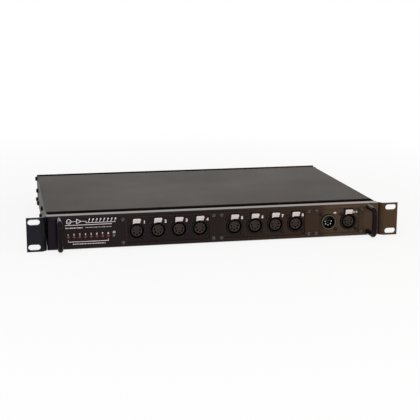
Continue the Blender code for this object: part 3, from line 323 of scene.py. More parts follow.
looks = {
    # each row: colour, shade of its patches, patch mm, grain mm, grain height, roughness, its drift, what else
    # differs; edge is the pale edge colour (worn coat and painted highlight), its mm and its share; paintedLightAlong
    # holds tones of painted reflection and painted shade, each with the metres where it comes in

    # semi-gloss powder coat baked on folded steel: brown-black from the front, silvery at a grazing look
    "powderCoatedPanel": ("#161113", "#1a1213", 60, 0.9, 0.06, 0.11, 0.02, dict(
        specular=0.15, tint="#ffe6de", edge=("#6b6058", 0.6, 0.55),
        # painted reflection: lighter brown towards the right end and bluish near the left end, for the warm and cool
        # sides of the room mirrored in the coat; painted shade: near black at the very left tip, beside the ear
        paintedLightAlong=(("#36281b", -0.05, 0.21), ("#433629", 0.136, 0.147),
               ("#0c0b18", -0.19, -0.2), ("#050303", -0.2125, -0.2145)))),
    # fine-textured satin powder coat: the grain scatters the room into an even warm grey
    "satinPowderCoatCover": ("#1e1711", "#231b15", 90, 0.7, 0.25, 0.5, 0.03, dict(
        # painted reflection: the coat turns a lighter warm brown from the left side to the middle and stays so over
        # the right half
        specular=0.2, tint="#fff0e6", edge=("#4a423b", 0.6, 0.4), paintedLightAlong=(("#2b241c", -0.2, 0.0),))),
    # black oxide on pressed steel screws: dull, with a slight oil sheen; the pale edge is partly rubbed steel and
    # partly a painted highlight ring round each head
    "blackOxideSteel": ("#0a0606", "#16100e", 2, 0.4, 0.15, 0.25, 0.06, dict(
        specular=0.45, edge=("#b0a69c", 0.4, 0.9))),
    # blackened zinc on pan-head case screws: dull, darker than the socket heads
    "blackenedZincPlate": ("#070606", "#0e0c0b", 2, 0.4, 0.15, 0.3, 0.06, dict(
        specular=0.12, edge=("#6a625a", 0.4, 0.7))),
    # satin anodised aluminium extrusion, dyed black: deep and slightly metallic
    "blackAnodisedAluminium": ("#070303", "#0b0504", 25, 0.5, 0.1, 0.5, 0.04, dict(specular=0.04, tint="#ffe0d8")),
    # powder coat on bent steel brackets, a little flatter than the panel
    # painted reflection: blue-black at the left ear and brown towards the right ear, for the cool and warm sides of
    # the room mirrored in them
    "powderCoatedBracket": ("#11121a", "#16171f", 40, 0.9, 0.15, 0.36, 0.04, dict(
        specular=0.15, edge=("#6b6058", 0.6, 0.5), paintedLightAlong=(("#433220", -0.1, 0.22),))),
    # stoved gloss enamel on steel rod: deep black with sharp highlights
    "stovedGlossEnamel": ("#100607", "#140a0b", 20, 3.0, 0.03, 0.08, 0.02, dict(specular=0.1)),
    # black-coated zinc die casting: even satin with a soft skin
    "diecastZincBlack": ("#060404", "#0b0808", 6, 0.4, 0.12, 0.22, 0.05, dict(
        specular=0.1, edge=("#80766e", 0.5, 0.4))),
    # black nickel plate on the input's guard ring: smoky metal that mirrors the floor
    "blackNickelPlate": ("#5c5448", "#6a6154", 3, 0.4, 0.1, 0.25, 0.05, dict(metallic=1.0)),
    # glass-filled polyamide, injection moulded: dull warm grey
    "mouldedPolyamide": ("#28201d", "#302724", 3, 0.3, 0.2, 0.5, 0.05, dict(
        specular=0.15, edge=("#8a7c70", 0.5, 0.45))),
    # nickel plate over tumbled steel: pale, with softened reflections
    "satinNickelPlate": ("#d6ccca", "#c9bfbc", 3, 0.5, 0.15, 0.34, 0.06, dict(metallic=1.0)),
    # silver plate on turned brass pins: white metal with tight glints
    "silverPlatedBrass": ("#e4ded4", "#cfc6b8", 1.5, 0.3, 0.1, 0.2, 0.04, dict(metallic=1.0)),
    # screen-printed ink on powder coat: flat white, slightly raised
    "screenPrintInk": ("#e9e4e6", "#dcd5d8", 2, 0.4, 0.1, 0.6, 0.05, dict(specular=0.3)),
    # tinted epoxy lens, cast: glassy dome over a coloured body
    "castEpoxyRed": ("#6e0d20", "#851527", 1, 0.6, 0.03, 0.15, 0.02, dict(coat=0.6)),
    "castEpoxyGreen": ("#3f6b52", "#4c7a5e", 1, 0.6, 0.03, 0.15, 0.02, dict(coat=0.6)),
    # moulded thermoplastic of mains parts: flat black with a fine spark-eroded skin
    "mouldedMainsPlastic": ("#0d0d0d", "#141414", 8, 0.35, 0.3, 0.45, 0.05, dict(specular=0.4)),
    # polished moulded rocker: black with a clear sheen
    "polishedRockerPlastic": ("#0b0b0b", "#101010", 5, 0.8, 0.04, 0.2, 0.03, {}),
    # tinned copper leads and solder: soft grey metal with a broken shine
    "reflowedSolder": ("#b9b6b0", "#9b978f", 1.2, 0.3, 0.3, 0.35, 0.1, dict(metallic=1.0)),
    # transfer-moulded epoxy of chips and converters: dead flat black, faintly gritty
    "mouldedEpoxy": ("#121212", "#1a1a1a", 4, 0.25, 0.35, 0.62, 0.05, dict(specular=0.35)),
    # heat-shrunk sleeve on capacitor cans: thin film with a slight sheen
    "shrunkSleeveFilm": ("#14182c", "#1a1f36", 5, 0.6, 0.08, 0.3, 0.05, {}),
    # extruded flat cable: grey flexible vinyl, softly shining along its cores
    "extrudedVinyl": ("#8b8d90", "#7f8184", 6, 0.5, 0.06, 0.42, 0.04, dict(specular=0.45)),
    # varnished silicon-steel laminations: brown-grey edges, slightly uneven
    "varnishedLaminations": ("#4b443c", "#60574c", 5, 0.5, 0.3, 0.5, 0.08, dict(metallic=0.7)),
    # polyester tape wound over the coil: amber film with overlapping turns
    "woundPolyesterTape": ("#a9791d", "#b98a2c", 12, 1.5, 0.15, 0.28, 0.05, {}),
    # zinc-plated pressed steel: cool grey with cloudy spangles
    "zincPlatedSteel": ("#9aa0a3", "#b3b7b8", 6, 0.8, 0.15, 0.4, 0.08, dict(metallic=1.0)),
}
finish = {name: surface(name, *look[:-1], **look[-1]) for name, look in looks.items()}

boardLook = dict(mask="#0e3d20", track="#1c6234", trackMm=2.54, trackShare=0.16, roughness=0.32)


def solderMaskedLaminate(look):  # glass-epoxy board under green lacquer: copper tracks show lighter through it
    material, tree, shader, where = startMaterial("solderMaskedLaminate")
    mask = linear(look["mask"])
    grid = addNode(tree, "TexBrick", {"Scale": perMetre(look["trackMm"]), "Mortar Size": look["trackShare"] / 2,
                                      "Brick Width": 3.0, "Row Height": 1.0, "Color1": mask, "Color2": mask,
                                      "Mortar": linear(look["track"])}, {"Vector": where})
    step = addNode(tree, "Bump", {"Strength": 0.2, "Distance": 0.05 * millimetre}, {"Height": grid.outputs["Fac"]})
    tree.links.new(grid.outputs["Color"], shader.inputs["Base Color"])
    tree.links.new(step.outputs["Normal"], shader.inputs["Normal"])
    shader.inputs["Roughness"].default_value = look["roughness"]
    return material


finish["solderMaskedLaminate"] = solderMaskedLaminate(boardLook)
print("materials:", len(finish))


# camera at the photograph's place
cameraView = dict(azimuth=-11.693, elevation=12.351, distance=1281.02, target=(-11.248, 0, 22.203), roll=0.088,
                  lens=36 * 1010.338 / 420)  # the photograph is 420 pixels wide


def addCamera(view):
    data = bpy.data.cameras.new("camera")
    data.sensor_width = 36
    data.lens = view["lens"]
    camera = bpy.data.objects.new("camera", data)
    scene.collection.objects.link(camera)
    turn, rise = radians(view["azimuth"]), radians(view["elevation"])
    target = home @ Vector(view["target"])
    away = Vector((sin(turn) * cos(rise), -cos(turn) * cos(rise), sin(rise)))
    camera.location = target + away * view["distance"] * millimetre
    look = (target - camera.location).to_track_quat("-Z", "Y").to_matrix()
    camera.rotation_euler = (look @ Matrix.Rotation(radians(view["roll"]), 3, "Z")).to_euler()
    scene.camera = camera


addCamera(cameraView)


# floor, sky and soft boxes
studio = dict(
    floorSize=12.0, floorColour="#f4f4f4", floorDrop=0.0002,
    wallLevel=1.0, wallTop=0.2,  # white walls up to this, as the sine of the elevation
    ceilingLevel=0.3, ceilingFrom=0.5,  # and a dim ceiling from this
    shadowShare=0.17, shadowReach=(0.3, 0.9),
    # name, place in metres, size in metres, watts, colour
    softBoxes=(
        ("overheadSoftBox", (-0.3, -0.4, 1.6), 2.0, 11, "#ffffff"),
        ("frontSoftBox", (-0.05, -1.6, 0.8), 0.35, 2.5, "#ffffff"),
        ("rightSoftBox", (0.9, -0.9, 0.45), 0.8, 4.5, "#ffdcbe"),
        ("leftSoftBox", (-0.9, -0.9, 0.45), 0.8, 2.8, "#ccd6ff"),
        ("backSoftBox", (0.5, 2.4, 0.8), 1.5, 3, "#fff4ec"),
    ),
)


def whiteToTheEye(tree):  # 1 where the camera, a reflection or a refraction looks
    path = addNode(tree, "LightPath")
    first = addNode(tree, "Math", {"operation": "MAXIMUM"},
                    {0: path.outputs["Is Camera Ray"], 1: path.outputs["Is Glossy Ray"]})
    return addNode(tree, "Math", {"operation": "MAXIMUM"},
                   {0: first.outputs[0], 1: path.outputs["Is Transmission Ray"]}).outputs[0]


def addRoom(look):
    world = bpy.data.worlds.new("paleRoom")
    scene.world = world
    world.use_nodes = True
    tree = world.node_tree
    room = tree.nodes["Background"]
    room.inputs["Color"].default_value = (1, 1, 1, 1)
    up = addNode(tree, "SeparateXYZ", {}, {0: addNode(tree, "TexCoord").outputs["Generated"]}).outputs["Z"]
    level = addNode(tree, "MapRange", {"From Min": look["wallTop"], "From Max": look["ceilingFrom"],
                                       "To Min": look["wallLevel"], "To Max": look["ceilingLevel"]}, {"Value": up})
    tree.links.new(level.outputs["Result"], room.inputs["Strength"])


def seamlessPaper(look):  # matt background paper, white to the eye, with the object's shadow kept on it
    paper = bpy.data.materials.new("seamlessPaper")
    paper.use_nodes = True
    tree = paper.node_tree
    tree.nodes.remove(tree.nodes["Principled BSDF"])
    matt = addNode(tree, "BsdfDiffuse", {"Color": linear(look["floorColour"])})
    glow = addNode(tree, "Emission", {"Color": (1, 1, 1, 1), "Strength": 1.0})
    away = addNode(tree, "VectorMath", {"operation": "LENGTH"}, {0: addNode(tree, "TexCoord").outputs["Object"]})
    near, far = look["shadowReach"]
    white = addNode(tree, "MapRange", {"From Min": near, "From Max": far, "To Min": 1 - look["shadowShare"]},
                    {"Value": away.outputs["Value"]})
    share = addNode(tree, "Math", {"operation": "MULTIPLY"}, {0: whiteToTheEye(tree), 1: white.outputs["Result"]})
    blend = addNode(tree, "MixShader", {}, {0: share.outputs[0], 1: matt.outputs[0], 2: glow.outputs[0]})
    tree.links.new(blend.outputs[0], tree.nodes["Material Output"].inputs["Surface"])
    return paper


def addFloor(look):
    bm = bmesh.new()
    bmesh.ops.create_grid(bm, x_segments=1, y_segments=1, size=look["floorSize"] / 2)
    mesh = bpy.data.meshes.new("paperFloor")
    bm.to_mesh(mesh)
    bm.free()
    mesh.materials.append(seamlessPaper(look))
    floor = bpy.data.objects.new("paperFloor", mesh)
    floor.location.z = -look["floorDrop"]
    scene.collection.objects.link(floor)


def addSoftBox(name, place, size, watts, colour):
    data = bpy.data.lights.new(name, "AREA")
    data.shape = "SQUARE"
    data.size = size
    data.energy = watts
    data.color = linear(colour)[:3]
    lamp = bpy.data.objects.new(name, data)
    lamp.location = place
    lamp.rotation_euler = (-Vector(place)).to_track_quat("-Z", "Y").to_euler()
    lamp.visible_camera = False
    scene.collection.objects.link(lamp)


addRoom(studio)
addFloor(studio)
for softBox in studio["softBoxes"]:
    addSoftBox(*softBox)
scene.view_settings.view_transform = "Standard"
print("camera and studio")


# screws
screwKinds = dict(
    # head radius and height, shank radius and length, drive, half its width, rounded share of the head
    case=(3.2, 3.2, 1.5, 4.0, "cross", 1.7, 0.35),
    base=(2.8, 1.2, 1.5, 4.0, "cross", 1.6, 0.15),
    handle=(1.9, 2.0, 1.5, 6.0, "cross", 1.1, 0.35),
    plate=(2.8, 1.6, 1.5, 5.6, "hex", 1.25, 0.7),
    flange=(2.3, 1.2, 1.2, 5.5, "cross", 1.35, 0.5),
    inlet=(3.0, 0.9, 1.5, 5.0, "cross", 1.6, 0.3),
)


def screwMesh(head, height, shank, length, drive, driveSize, crown):  # the head stands on the local origin
    rim, floor, top = height * (1 - crown), height * 0.25, height + 1
    profile = crownPoints(0, rim, head, height - rim, 6) + [(head, 0), (shank, 0), (shank, -length), (0, -length)]
    if drive == "hex":
        cutter = turnedMesh([(0, top), (driveSize, top), (driveSize, floor), (0, floor - 0.3)], 6)
    else:
        slot = driveSize * 0.28
        cutter = shaped([blockMesh((-x, -y, floor), (x, y, top)) for x, y in ((driveSize, slot), (slot, driveSize))])
    return shaped([turnedMesh(profile, 32)], [cutter])


def addScrews(label, kind, look, slotName, places):  # places: node, turn, spin in degrees, where
    for k, (node, turn, spin, where) in enumerate(places, start=1):
        addPiece(label + str(k), copies(screws[kind], [turn @ spun(spin)]), look, slotName, node, where)


screws = {kind: screwMesh(*sizes) for kind, sizes in screwKinds.items()}


# connector row, shared by the panel, the plates and the connectors
row = dict(
    windows=((-64.2, 4, 53.2, 58.0), (62.0, 4, 53.2, 58.0), (161.0, 2, 27.7, 31.0)),  # middle, ways, half, screws
    pitch=27.0, level=-1.3, plateFront=3.3, plateBack=5.3, plateScrewLevel=14.7,
)
centres = [middle + (k - (ways - 1) / 2) * row["pitch"]
           for middle, ways, half, reach in row["windows"] for k in range(ways)]
inputCentre = centres[8]
outlets = [(str(k + 1), centres[k]) for k in range(8)] + [("thru", centres[9])]
plateScrews = [(middle + side * reach, level * row["plateScrewLevel"])
               for middle, ways, half, reach in row["windows"] for side in (-1, 1) for level in (-1, 1)]

handleSize = dict(centre=201.4, lift=0.5, spacing=33.0, rod=7.0, reach=27.0, bend=6.5, screwSeat=3.3)
handleEnds = [(side * handleSize["centre"], handleSize["lift"] + level * handleSize["spacing"] / 2)
              for side in (-1, 1) for level in (-1, 1)]

lampRow = dict(first=-190.4, pitch=7.1, count=9, level=-5.2, radius=1.5, tip=-0.2, collar=3.4, rim=0.5,
               boardFront=8.6, board=1.6, boardLow=-14, boardHigh=10, boardMargin=4)
lampPlaces = [lampRow["first"] + k * lampRow["pitch"] for k in range(lampRow["count"])]


# front panel, one folded shell
panelSize = dict(front=1.0, back=15.5, sheet=2.0, bend=4.2, bendSteps=9, brokenEdge=0.4,
                 windowHeight=33.2, windowLift=0.2, windowCorner=2.5,
                 baseScrews=(-180.0, 0.0, 180.0), baseScrewY=11.75, baseScrewSeat=3.1)


def panelMesh(size):
    front, back = size["front"], size["back"]
    bm = bmesh.new()
    box = Matrix.Diagonal((2 * halfWidth, back - front, 2 * halfHeight, 1))
    bmesh.ops.create_cube(bm, size=1, matrix=moved(0, (front + back) / 2, 0) @ box)
    bm.normal_update()
    bmesh.ops.delete(bm, geom=[f for f in bm.faces if f.normal.y > 0.9], context="FACES")
    rim = [e for e in bm.edges if all(abs(v.co.y - front) < 0.01 for v in e.verts)]
    bmesh.ops.bevel(bm, geom=rim, offset=size["bend"], segments=size["bendSteps"], profile=0.5, affect="EDGES")
    shell = helper(meshOf(bm))
    sheet = shell.modifiers.new("sheet", "SOLIDIFY")
    sheet.thickness = size["sheet"]
    sheet.offset = -1
    sheet.use_even_offset = True
    folded = baked(shell)
    shape = size["windowHeight"], size["windowCorner"]
    windows = sheetMesh([roundedOutline(middle, size["windowLift"], 2 * half, *shape)
                         for middle, ways, half, reach in row["windows"]], *throughFront)
    small = [facing(x, 0, z) for x, z in plateScrews + handleEnds]
    lamps = [facing(x, 0, lampRow["level"]) for x in lampPlaces]
    under = [moved(x, size["baseScrewY"], -halfHeight) for x in size["baseScrews"]]
    cutters = [windows, drillMesh(small, screwHole), drillMesh(lamps, lampRow["radius"] + gap),
               drillMesh(under, size["baseScrewSeat"], length=3.0), drillMesh(under, screwHole)]
    return shaped([folded], cutters, edge=size["brokenEdge"])


addPiece("frontPanel", panelMesh(panelSize), "powderCoatedPanel", "panel_paint", "front_panel")
print("front panel")


# top cover, tray and the rails between them
coverSize = dict(sheet=1.2, bend=1.6, front=15.8, back=292.7, topFront=32.6, topBack=284.0, brokenEdge=0.2)
traySize = dict(
    sheet=1.5, halfWidth=214.8, top=20.0, bend=2.0,
    postProfile=((0, 4.0), (1.4, 4.0), (1.4, 0), (3.2, 0), (3.2, -4.4), (0, -4.4)),
    postPlaces=[(x, y) for x in (-182, 0, 182) for y in (54, 183)], postTop=-15.8,
)
sideScrews = ((288.6, 17.1), (288.6, -14.3), (263.5, 3.7), (251.7, -12.8), (112.8, 8.7), (166.0, -13.0))
earScrews = ((25.5, 8.5), (25.5, -8.5))


def channelMesh(half, low, sheet, bend, turn):  # a U of folded sheet, open below before it is turned
    x, z, tight = half - bend, halfHeight - bend, bend - sheet
    outline = [(-half, low)] + arcPoints((-x, z), bend, 180, 90, 6) + arcPoints((x, z), bend, 90, 0, 6)
    outline += [(half, low), (half - sheet, low)] + arcPoints((x, z), tight, 0, 90, 4)
    outline += arcPoints((-x, z), tight, 90, 180, 4) + [(-half + sheet, low)]
    front, back = coverSize["front"], coverSize["back"]
    return plateMesh([outline], back - front, facing(0, (front + back) / 2, 0) @ turn)


def sideDrills():
    return drillMesh([moved(side * halfWidth, y, z) @ toLeft for y, z in sideScrews + earScrews for side in (-1, 1)],
                     screwHole)


def coverMesh(size):
    channel = channelMesh(halfWidth, -halfHeight, size["sheet"], size["bend"], spun(0))
    inner, low = halfWidth - size["sheet"], halfHeight - size["sheet"] - gap
    strips = together(blockMesh((-inner, 0, low), (inner, size["topFront"], 30)),
                      blockMesh((-inner, size["topBack"], low), (inner, 310, 30)))
    return shaped([channel], [strips, sideDrills()], edge=size["brokenEdge"])


def trayMesh(size):
    channel = channelMesh(size["halfWidth"], -size["top"], size["sheet"], size["bend"], spun(180))
    return shaped([channel], [sideDrills()], edge=coverSize["brokenEdge"])


addPiece("topCover", coverMesh(coverSize), "satinPowderCoatCover", "cover_paint", "top_cover")
addPiece("chassisTray", trayMesh(traySize), "satinPowderCoatCover", "tray_paint", "chassis_tray")
posts = copies(turnedMesh(traySize["postProfile"], 6),
               [moved(x, y, traySize["postTop"]) for x, y in traySize["postPlaces"]])
addPiece("boardPosts", posts, "satinNickelPlate", "tray_paint", "chassis_tray")
for side, letter, turn in ((-1, "L", toLeft), (1, "R", toRight)):
    addScrews("sideScrew_" + letter, "case", "blackenedZincPlate", "tray_paint", [
        ("chassis_tray", turn, 37 * k + 20, (side * (halfWidth + gap), y, z))
        for k, (y, z) in enumerate(sideScrews)])
print("cover and tray")

railSize = dict(
    halfLength=213.0, brokenEdge=0.3, baseScrewSeat=1.2,
    # node, piece, outline in YZ
    outlines=(
        ("front_rail_top", "frontRailTop", ((8, 17), (40, 17), (40, 20), (32.6, 20), (32.6, 19.5), (15.8, 19.5),
                                            (15.8, 19.2), (8, 19.2))),
        ("front_rail_bottom", "frontRailBottom", ((8, -19.2), (15.65, -19.2), (15.65, -19.7), (40, -19.7),
                                                  (40, -17), (8, -17))),
        ("rear_rail_top", "rearRailTop", ((276.6, 17), (284.5, 17), (284.5, 12), (292.7, 12), (292.7, 19.5),
                                          (284, 19.5), (284, 20), (276.6, 20))),
        ("rear_rail_bottom", "rearRailBottom", ((284.5, -19.7), (292.7, -19.7), (292.7, -12.2), (284.5, -12.2))),
    ),
    rearScrews=[(x, z) for x in (-195, -65, 65, 195) for z in (-15.75, 15.75)],
)
for node, name, outline in railSize["outlines"]:
    rail = plateMesh([outline], 2 * railSize["halfLength"], alongWidth, edge=railSize["brokenEdge"])
    addPiece(name, rail, "blackAnodisedAluminium", "black_anodised", node)
addScrews("baseScrew_", "base", "blackenedZincPlate", "black_anodised", [
    ("front_rail_bottom", toBelow, 0, (x, panelSize["baseScrewY"], -halfHeight + railSize["baseScrewSeat"]))
    for x in panelSize["baseScrews"]])
addScrews("rearScrew_", "case", "blackenedZincPlate", "black_anodised", [
    ("rear_rail_top" if z > 0 else "rear_rail_bottom", toRear, 29 * k, (x, depth + gap, z))
    for k, (x, z) in enumerate(railSize["rearScrews"])])
print("rails")


# rack ears
earSize = dict(end=241.3, sheet=2.5, bend=8.5, legEnd=40.0, legHalf=15.0, taperEnd=21.5, brokenEdge=0.3,
               slotX=232.0, slotLevels=(-15.875, 15.875), slot=(15.0, 7.0))


def earMesh(size):
    leg = halfWidth + gap
    sheet, bend, half = size["sheet"], size["bend"], size["legHalf"]
    centre = (leg + bend, bend)
    outline = [(size["end"], 0), (size["end"], sheet)] + arcPoints(centre, bend - sheet, 270, 180, 14)
    outline += [(leg + sheet, size["legEnd"]), (leg, size["legEnd"])] + arcPoints(centre, bend, 180, 270, 14)
    bracket = plateMesh([outline], 2 * halfHeight)
    width, height = size["slot"]
    slots = sheetMesh([roundedOutline(size["slotX"], z, width, height, height * 0.499)
                       for z in size["slotLevels"]], *throughFront)
    wedges = [[(bend, level * 30), (bend, level * halfHeight), (size["taperEnd"], level * half),
               (50, level * half), (50, level * 30)] for level in (-1, 1)]
    trims = plateMesh(wedges, 8, moved(leg + sheet / 2, 0, 0) @ alongWidth)
    drills = drillMesh([moved(leg, y, z) @ toLeft for y, z in earScrews], screwHole)
    return shaped([bracket], [slots, trims, drills], edge=size["brokenEdge"])


rightEar = earMesh(earSize)
for name, node, mesh, side, turn in (("earLeft", "ear_left", mirrored(rightEar), -1, toLeft),
                                     ("earRight", "ear_right", rightEar, 1, toRight)):
    addPiece(name, mesh, "powderCoatedBracket", "ear_paint", node)
    addScrews(name + "Screw_", "case", "blackenedZincPlate", "ear_paint", [
        (node, turn, 50 * k + 15, (side * (halfWidth + gap + earSize["sheet"]), y, z))
        for k, (y, z) in enumerate(earScrews)])
print("ears")


# handles
def handleMesh(size):
    start, bend = panelSize["front"] - gap, size["bend"]
    bar = size["rod"] / 2 - size["reach"]
    arm = size["spacing"] / 2
    path = [(start, arm), (start - 4, arm)] + arcPoints((bar + bend, arm - bend), bend, 90, 180, 14)
    path += [(bar, z) for z in (6, 3, 0)]
    path += [(y, -z) for y, z in reversed(path[:-1])]
    return curveMesh([[(0, y, z) for y, z in path]], False, dimensions="3D", bevel_depth=size["rod"] / 2 - 0.01,
                     bevel_resolution=8, use_fill_caps=True)


handleScrews = copies(screws["handle"], [
    moved(0, handleSize["screwSeat"], level * handleSize["spacing"] / 2) @ toRear for level in (-1, 1)])
for label, mesh, look in (("handle", handleMesh(handleSize), "stovedGlossEnamel"),
                          ("handleScrews", handleScrews, "blackOxideSteel")):
    for name, side in (("Left", -1), ("Right", 1)):
        addPiece(label + name, mesh, look, "handle_gloss_black", "handle_" + name.lower(),
                 (side * handleSize["centre"], 0, handleSize["lift"]))
print("handles")


# recessed connector plates
plateSize = dict(height=36.4, corner=2.0, margin=4.0, shellHole=11.3, inputHole=10.6, screwHole=1.7,
                 notchHalf=6.4, notchTop=16.7, notchCorner=1.0, brokenEdge=0.2, screwSeat=0.7)


def connectorHoles(x, size):
    if x == inputCentre:
        return [drillMesh([facing(x, 0, row["level"])], size["inputHole"], steps=64)]
    notch = blockMesh((x - size["notchHalf"], 0, 0), (x + size["notchHalf"], 12, size["notchTop"]),
                      size["notchCorner"])
    return [drillMesh([facing(x, 0, row["level"])], size["shellHole"], steps=64), notch]


for number, (middle, ways, half, reach) in enumerate(row["windows"], start=1):
    node = "connector_plate_%d" % number
    outline = roundedOutline(middle, 0, 2 * (reach + plateSize["margin"]), plateSize["height"], plateSize["corner"])
    sheet = sheetMesh([outline], row["plateFront"], row["plateBack"])
    cutters = [hole for x in centres if abs(x - middle) <= half for hole in connectorHoles(x, plateSize)]
    own = [(x, z) for x, z in plateScrews if abs(x - middle) <= reach]
    cutters.append(drillMesh([facing(x, 0, z) for x, z in own], plateSize["screwHole"]))
    addPiece("connectorPlate_%d" % number, shaped([sheet], cutters, edge=plateSize["brokenEdge"]),
             "powderCoatedPanel", "panel_paint", node)
    addScrews("plateScrew_%d_" % number, "plate", "blackOxideSteel", "panel_paint", [
        (node, toFront, 23 * k, (x, plateSize["screwSeat"], z)) for k, (x, z) in enumerate(own)])
print("connector plates")


# five-pole sockets with push latches
socketSize = dict(
    ring=11.0, bore=9.3, ringFront=1.6, back=25.0, boreEnd=17.0, backBore=7.9,
    house=((-6.1, 1.9, 3.0), (6.1, 13.1, 16.4)), houseEdge=0.7,
    pocket=((-5.5, -5, 8.6), (5.5, 11.1, 15.8)), pocketEdge=0.4,
    flange=(12.9, -16.8, 16.9, 5.6, 7.6), flangeEdge=0.3,  # half width, low, high, front, back
    screwOffset=9.9, screwSeat=3.0, insert=7.1, insertFront=2.3, keyway=(0.9, 6.1, 9.0),  # half width, low, high
    contactCircle=4.4, contactHole=1.2, contactMouth=1.7, contactDepth=12.0,
)
contactAngles = [radians(270 + 360 / 7 * k) for k in (-2, -1, 0, 1, 2)]
contacts = [(socketSize["contactCircle"] * cos(a), socketSize["contactCircle"] * sin(a)) for a in contactAngles]
contactPlaces = [facing(x, 0, row["level"] + z) for x, z in contacts]
axisFront = facing(0, 0, row["level"])


def ringSolid(radius, front, back, lip=0.5):
    rim = crownPoints(radius - lip, -front - lip, lip, lip, 4)
    return turnedMesh([(0, -front)] + rim + [(radius, -back), (0, -back)], 64, axisFront)


def boreCutter(radius, front, end, behind, lip=0.4):
    return turnedMesh([(0, 6), (radius + lip, 6), (radius + lip, 0.05 - front), (radius, -front - lip),
                       (radius, -end), (behind, -end), (behind, -40), (0, -40)], 64, axisFront)


def flangeMesh(half, low, high, front, back):
    return blockMesh((-half, front, low), (half, back, high), socketSize["flangeEdge"])


def shellMesh(size):
    house = blockMesh(*size["house"], size["houseEdge"], 3)
    return shaped([ringSolid(size["ring"], size["ringFront"], size["back"]), house, flangeMesh(*size["flange"])],
                  [boreCutter(size["bore"], size["ringFront"], size["boreEnd"], size["backBore"]),
                   blockMesh(*size["pocket"], size["pocketEdge"])])


def insertMesh(size):
    front, mouth, hole, deep = (size[k] for k in ("insertFront", "contactMouth", "contactHole", "contactDepth"))
    holes = turnedMesh([(0, 0), (mouth, 0), (mouth, -front + 0.02), (hole, -front - 0.45), (hole, -deep),
                        (0, -deep - 0.6)], 24)
    half, low, high = size["keyway"]
    keyway = blockMesh((-half, -5, row["level"] + low), (half, 8, row["level"] + high), 0.2)
    return shaped([ringSolid(size["insert"], front, size["back"], 0.7)], [copies(holes, contactPlaces), keyway])


latchSize = dict(
    lip=(0.0, 13.2, 10.4, 3.8, 1.6), lipReach=(-1.3, 2.1),  # middle, width, height, corner; front and back
    apron=(-0.4, 10.8, 9.5, 3.0, 0.5), apronReach=(-0.5, 2.1),
    tongue=((-5.0, 10.2), (-5.3, 9.6), (-5.4, 8.9), (-4.9, 8.6), (-4.2, 8.8), (-2.8, 9.4), (-3.4, 10.2)),
    tongueReach=(-1.0, -0.3),  # clears the ring when the latch is pushed home
    stem=((-2.6, 0.4, 10.55), (2.6, 8.1, 13.85)),
)


def latchMesh(size):
    parts = []
    for part, outline, edge, steps in (("lip", roundedOutline(*size["lip"]), 0.7, 3),
                                       ("apron", roundedOutline(*size["apron"]), 0.25, 2),
                                       ("tongue", size["tongue"], 0.15, 1)):
        parts.append(sheetMesh([outline], *size[part + "Reach"], edge, steps))
    return shaped(parts + [blockMesh(*size["stem"], 0.2)])


shell, insert, latch = shellMesh(socketSize), insertMesh(socketSize), latchMesh(latchSize)
offset = socketSize["screwOffset"]
flangeScrews = copies(screws["flange"], [
    facing(side * offset, socketSize["screwSeat"], row["level"] - side * offset) @ spun(20 + 35 * side)
    for side in (-1, 1)])
for label, x in outlets:
    for name, mesh, look, slotName, node, body in (
            ("socketShell_", shell, "diecastZincBlack", "connector_black", "xlr_shell_", "case"),
            ("socketScrews_", flangeScrews, "blackenedZincPlate", "connector_black", "xlr_shell_", "case"),
            ("socketInsert_", insert, "mouldedPolyamide", "insert_plastic", "xlr_insert_", "case"),
            ("pushLatch_", latch, "satinNickelPlate", "latch_nickel", "push_latch_", "latch_" + label)):
        addPiece(name + label, mesh, look, slotName, node + label, (x, 0, 0), body)
print("sockets")


# five-pin input
inputSize = dict(
    ring=10.3, bore=8.15, ringFront=1.5, back=25.0, flangeTop=14.2, floor=15.0, floorRadius=7.85,
    pin=1.0, pinTip=4.0, pinFoot=1.35, shoulder=12.6,
    guard=(8.5, 9.75, 0.06),  # inner and outer radius, how proud
)


def inputShellMesh(size):
    half, low, high, front, back = socketSize["flange"]
    return shaped([ringSolid(size["ring"], size["ringFront"], size["back"]),
                   flangeMesh(half, low, size["flangeTop"], front, back)],
                  [boreCutter(size["bore"], size["ringFront"], 30, size["bore"])])


def guardMesh(size):
    inner, outer, proud = size["guard"]
    front = proud - size["ringFront"]
    return turnedMesh([(inner, front - 0.2), (inner + 0.15, front), (outer - 0.15, front), (outer, front - 0.2),
                       (outer, front - 0.6), (inner, front - 0.6)], 64, axisFront)


def inputFloorMesh(size):
    floor = size["floor"]
    disc = ringSolid(size["floorRadius"], floor, size["back"], 0.3)
    collar = turnedMesh([(0, 0.5 - floor), (1.6, 0.5 - floor), (1.9, -floor - 0.5), (0, -floor - 0.5)], 24)
    drills = [facing(x, floor, row["level"] + z) for x, z in contacts]
    return shaped([disc, copies(collar, contactPlaces)], [drillMesh(drills, size["pin"] + 0.05, length=4.6)])


def pinMesh(size):
    pin, foot, floor, shoulder = (size[k] for k in ("pin", "pinFoot", "floor", "shoulder"))
    profile = crownPoints(0, -pin - size["pinTip"], pin, pin, 5)
    profile += [(pin, -shoulder), (foot, -shoulder - 0.35), (foot, 0.4 - floor), (pin, 0.4 - floor),
                (pin, -floor - 2), (0, -floor - 2)]
    return copies(turnedMesh(profile, 24), contactPlaces)


for name, mesh, look, slotName, node in (
        ("Shell", inputShellMesh(inputSize), "diecastZincBlack", "connector_black", "xlr_male_shell"),
        ("Guard", guardMesh(inputSize), "blackNickelPlate", "connector_black", "xlr_male_shell"),
        ("Screws", flangeScrews, "blackenedZincPlate", "connector_black", "xlr_male_shell"),
        ("Floor", inputFloorMesh(inputSize), "mouldedMainsPlastic", "pin_silver", "xlr_male_insert"),
        ("Pins", pinMesh(inputSize), "silverPlatedBrass", "pin_silver", "xlr_male_insert")):
    addPiece("input" + name, mesh, look, slotName, node, (inputCentre, 0, 0))
print("input")


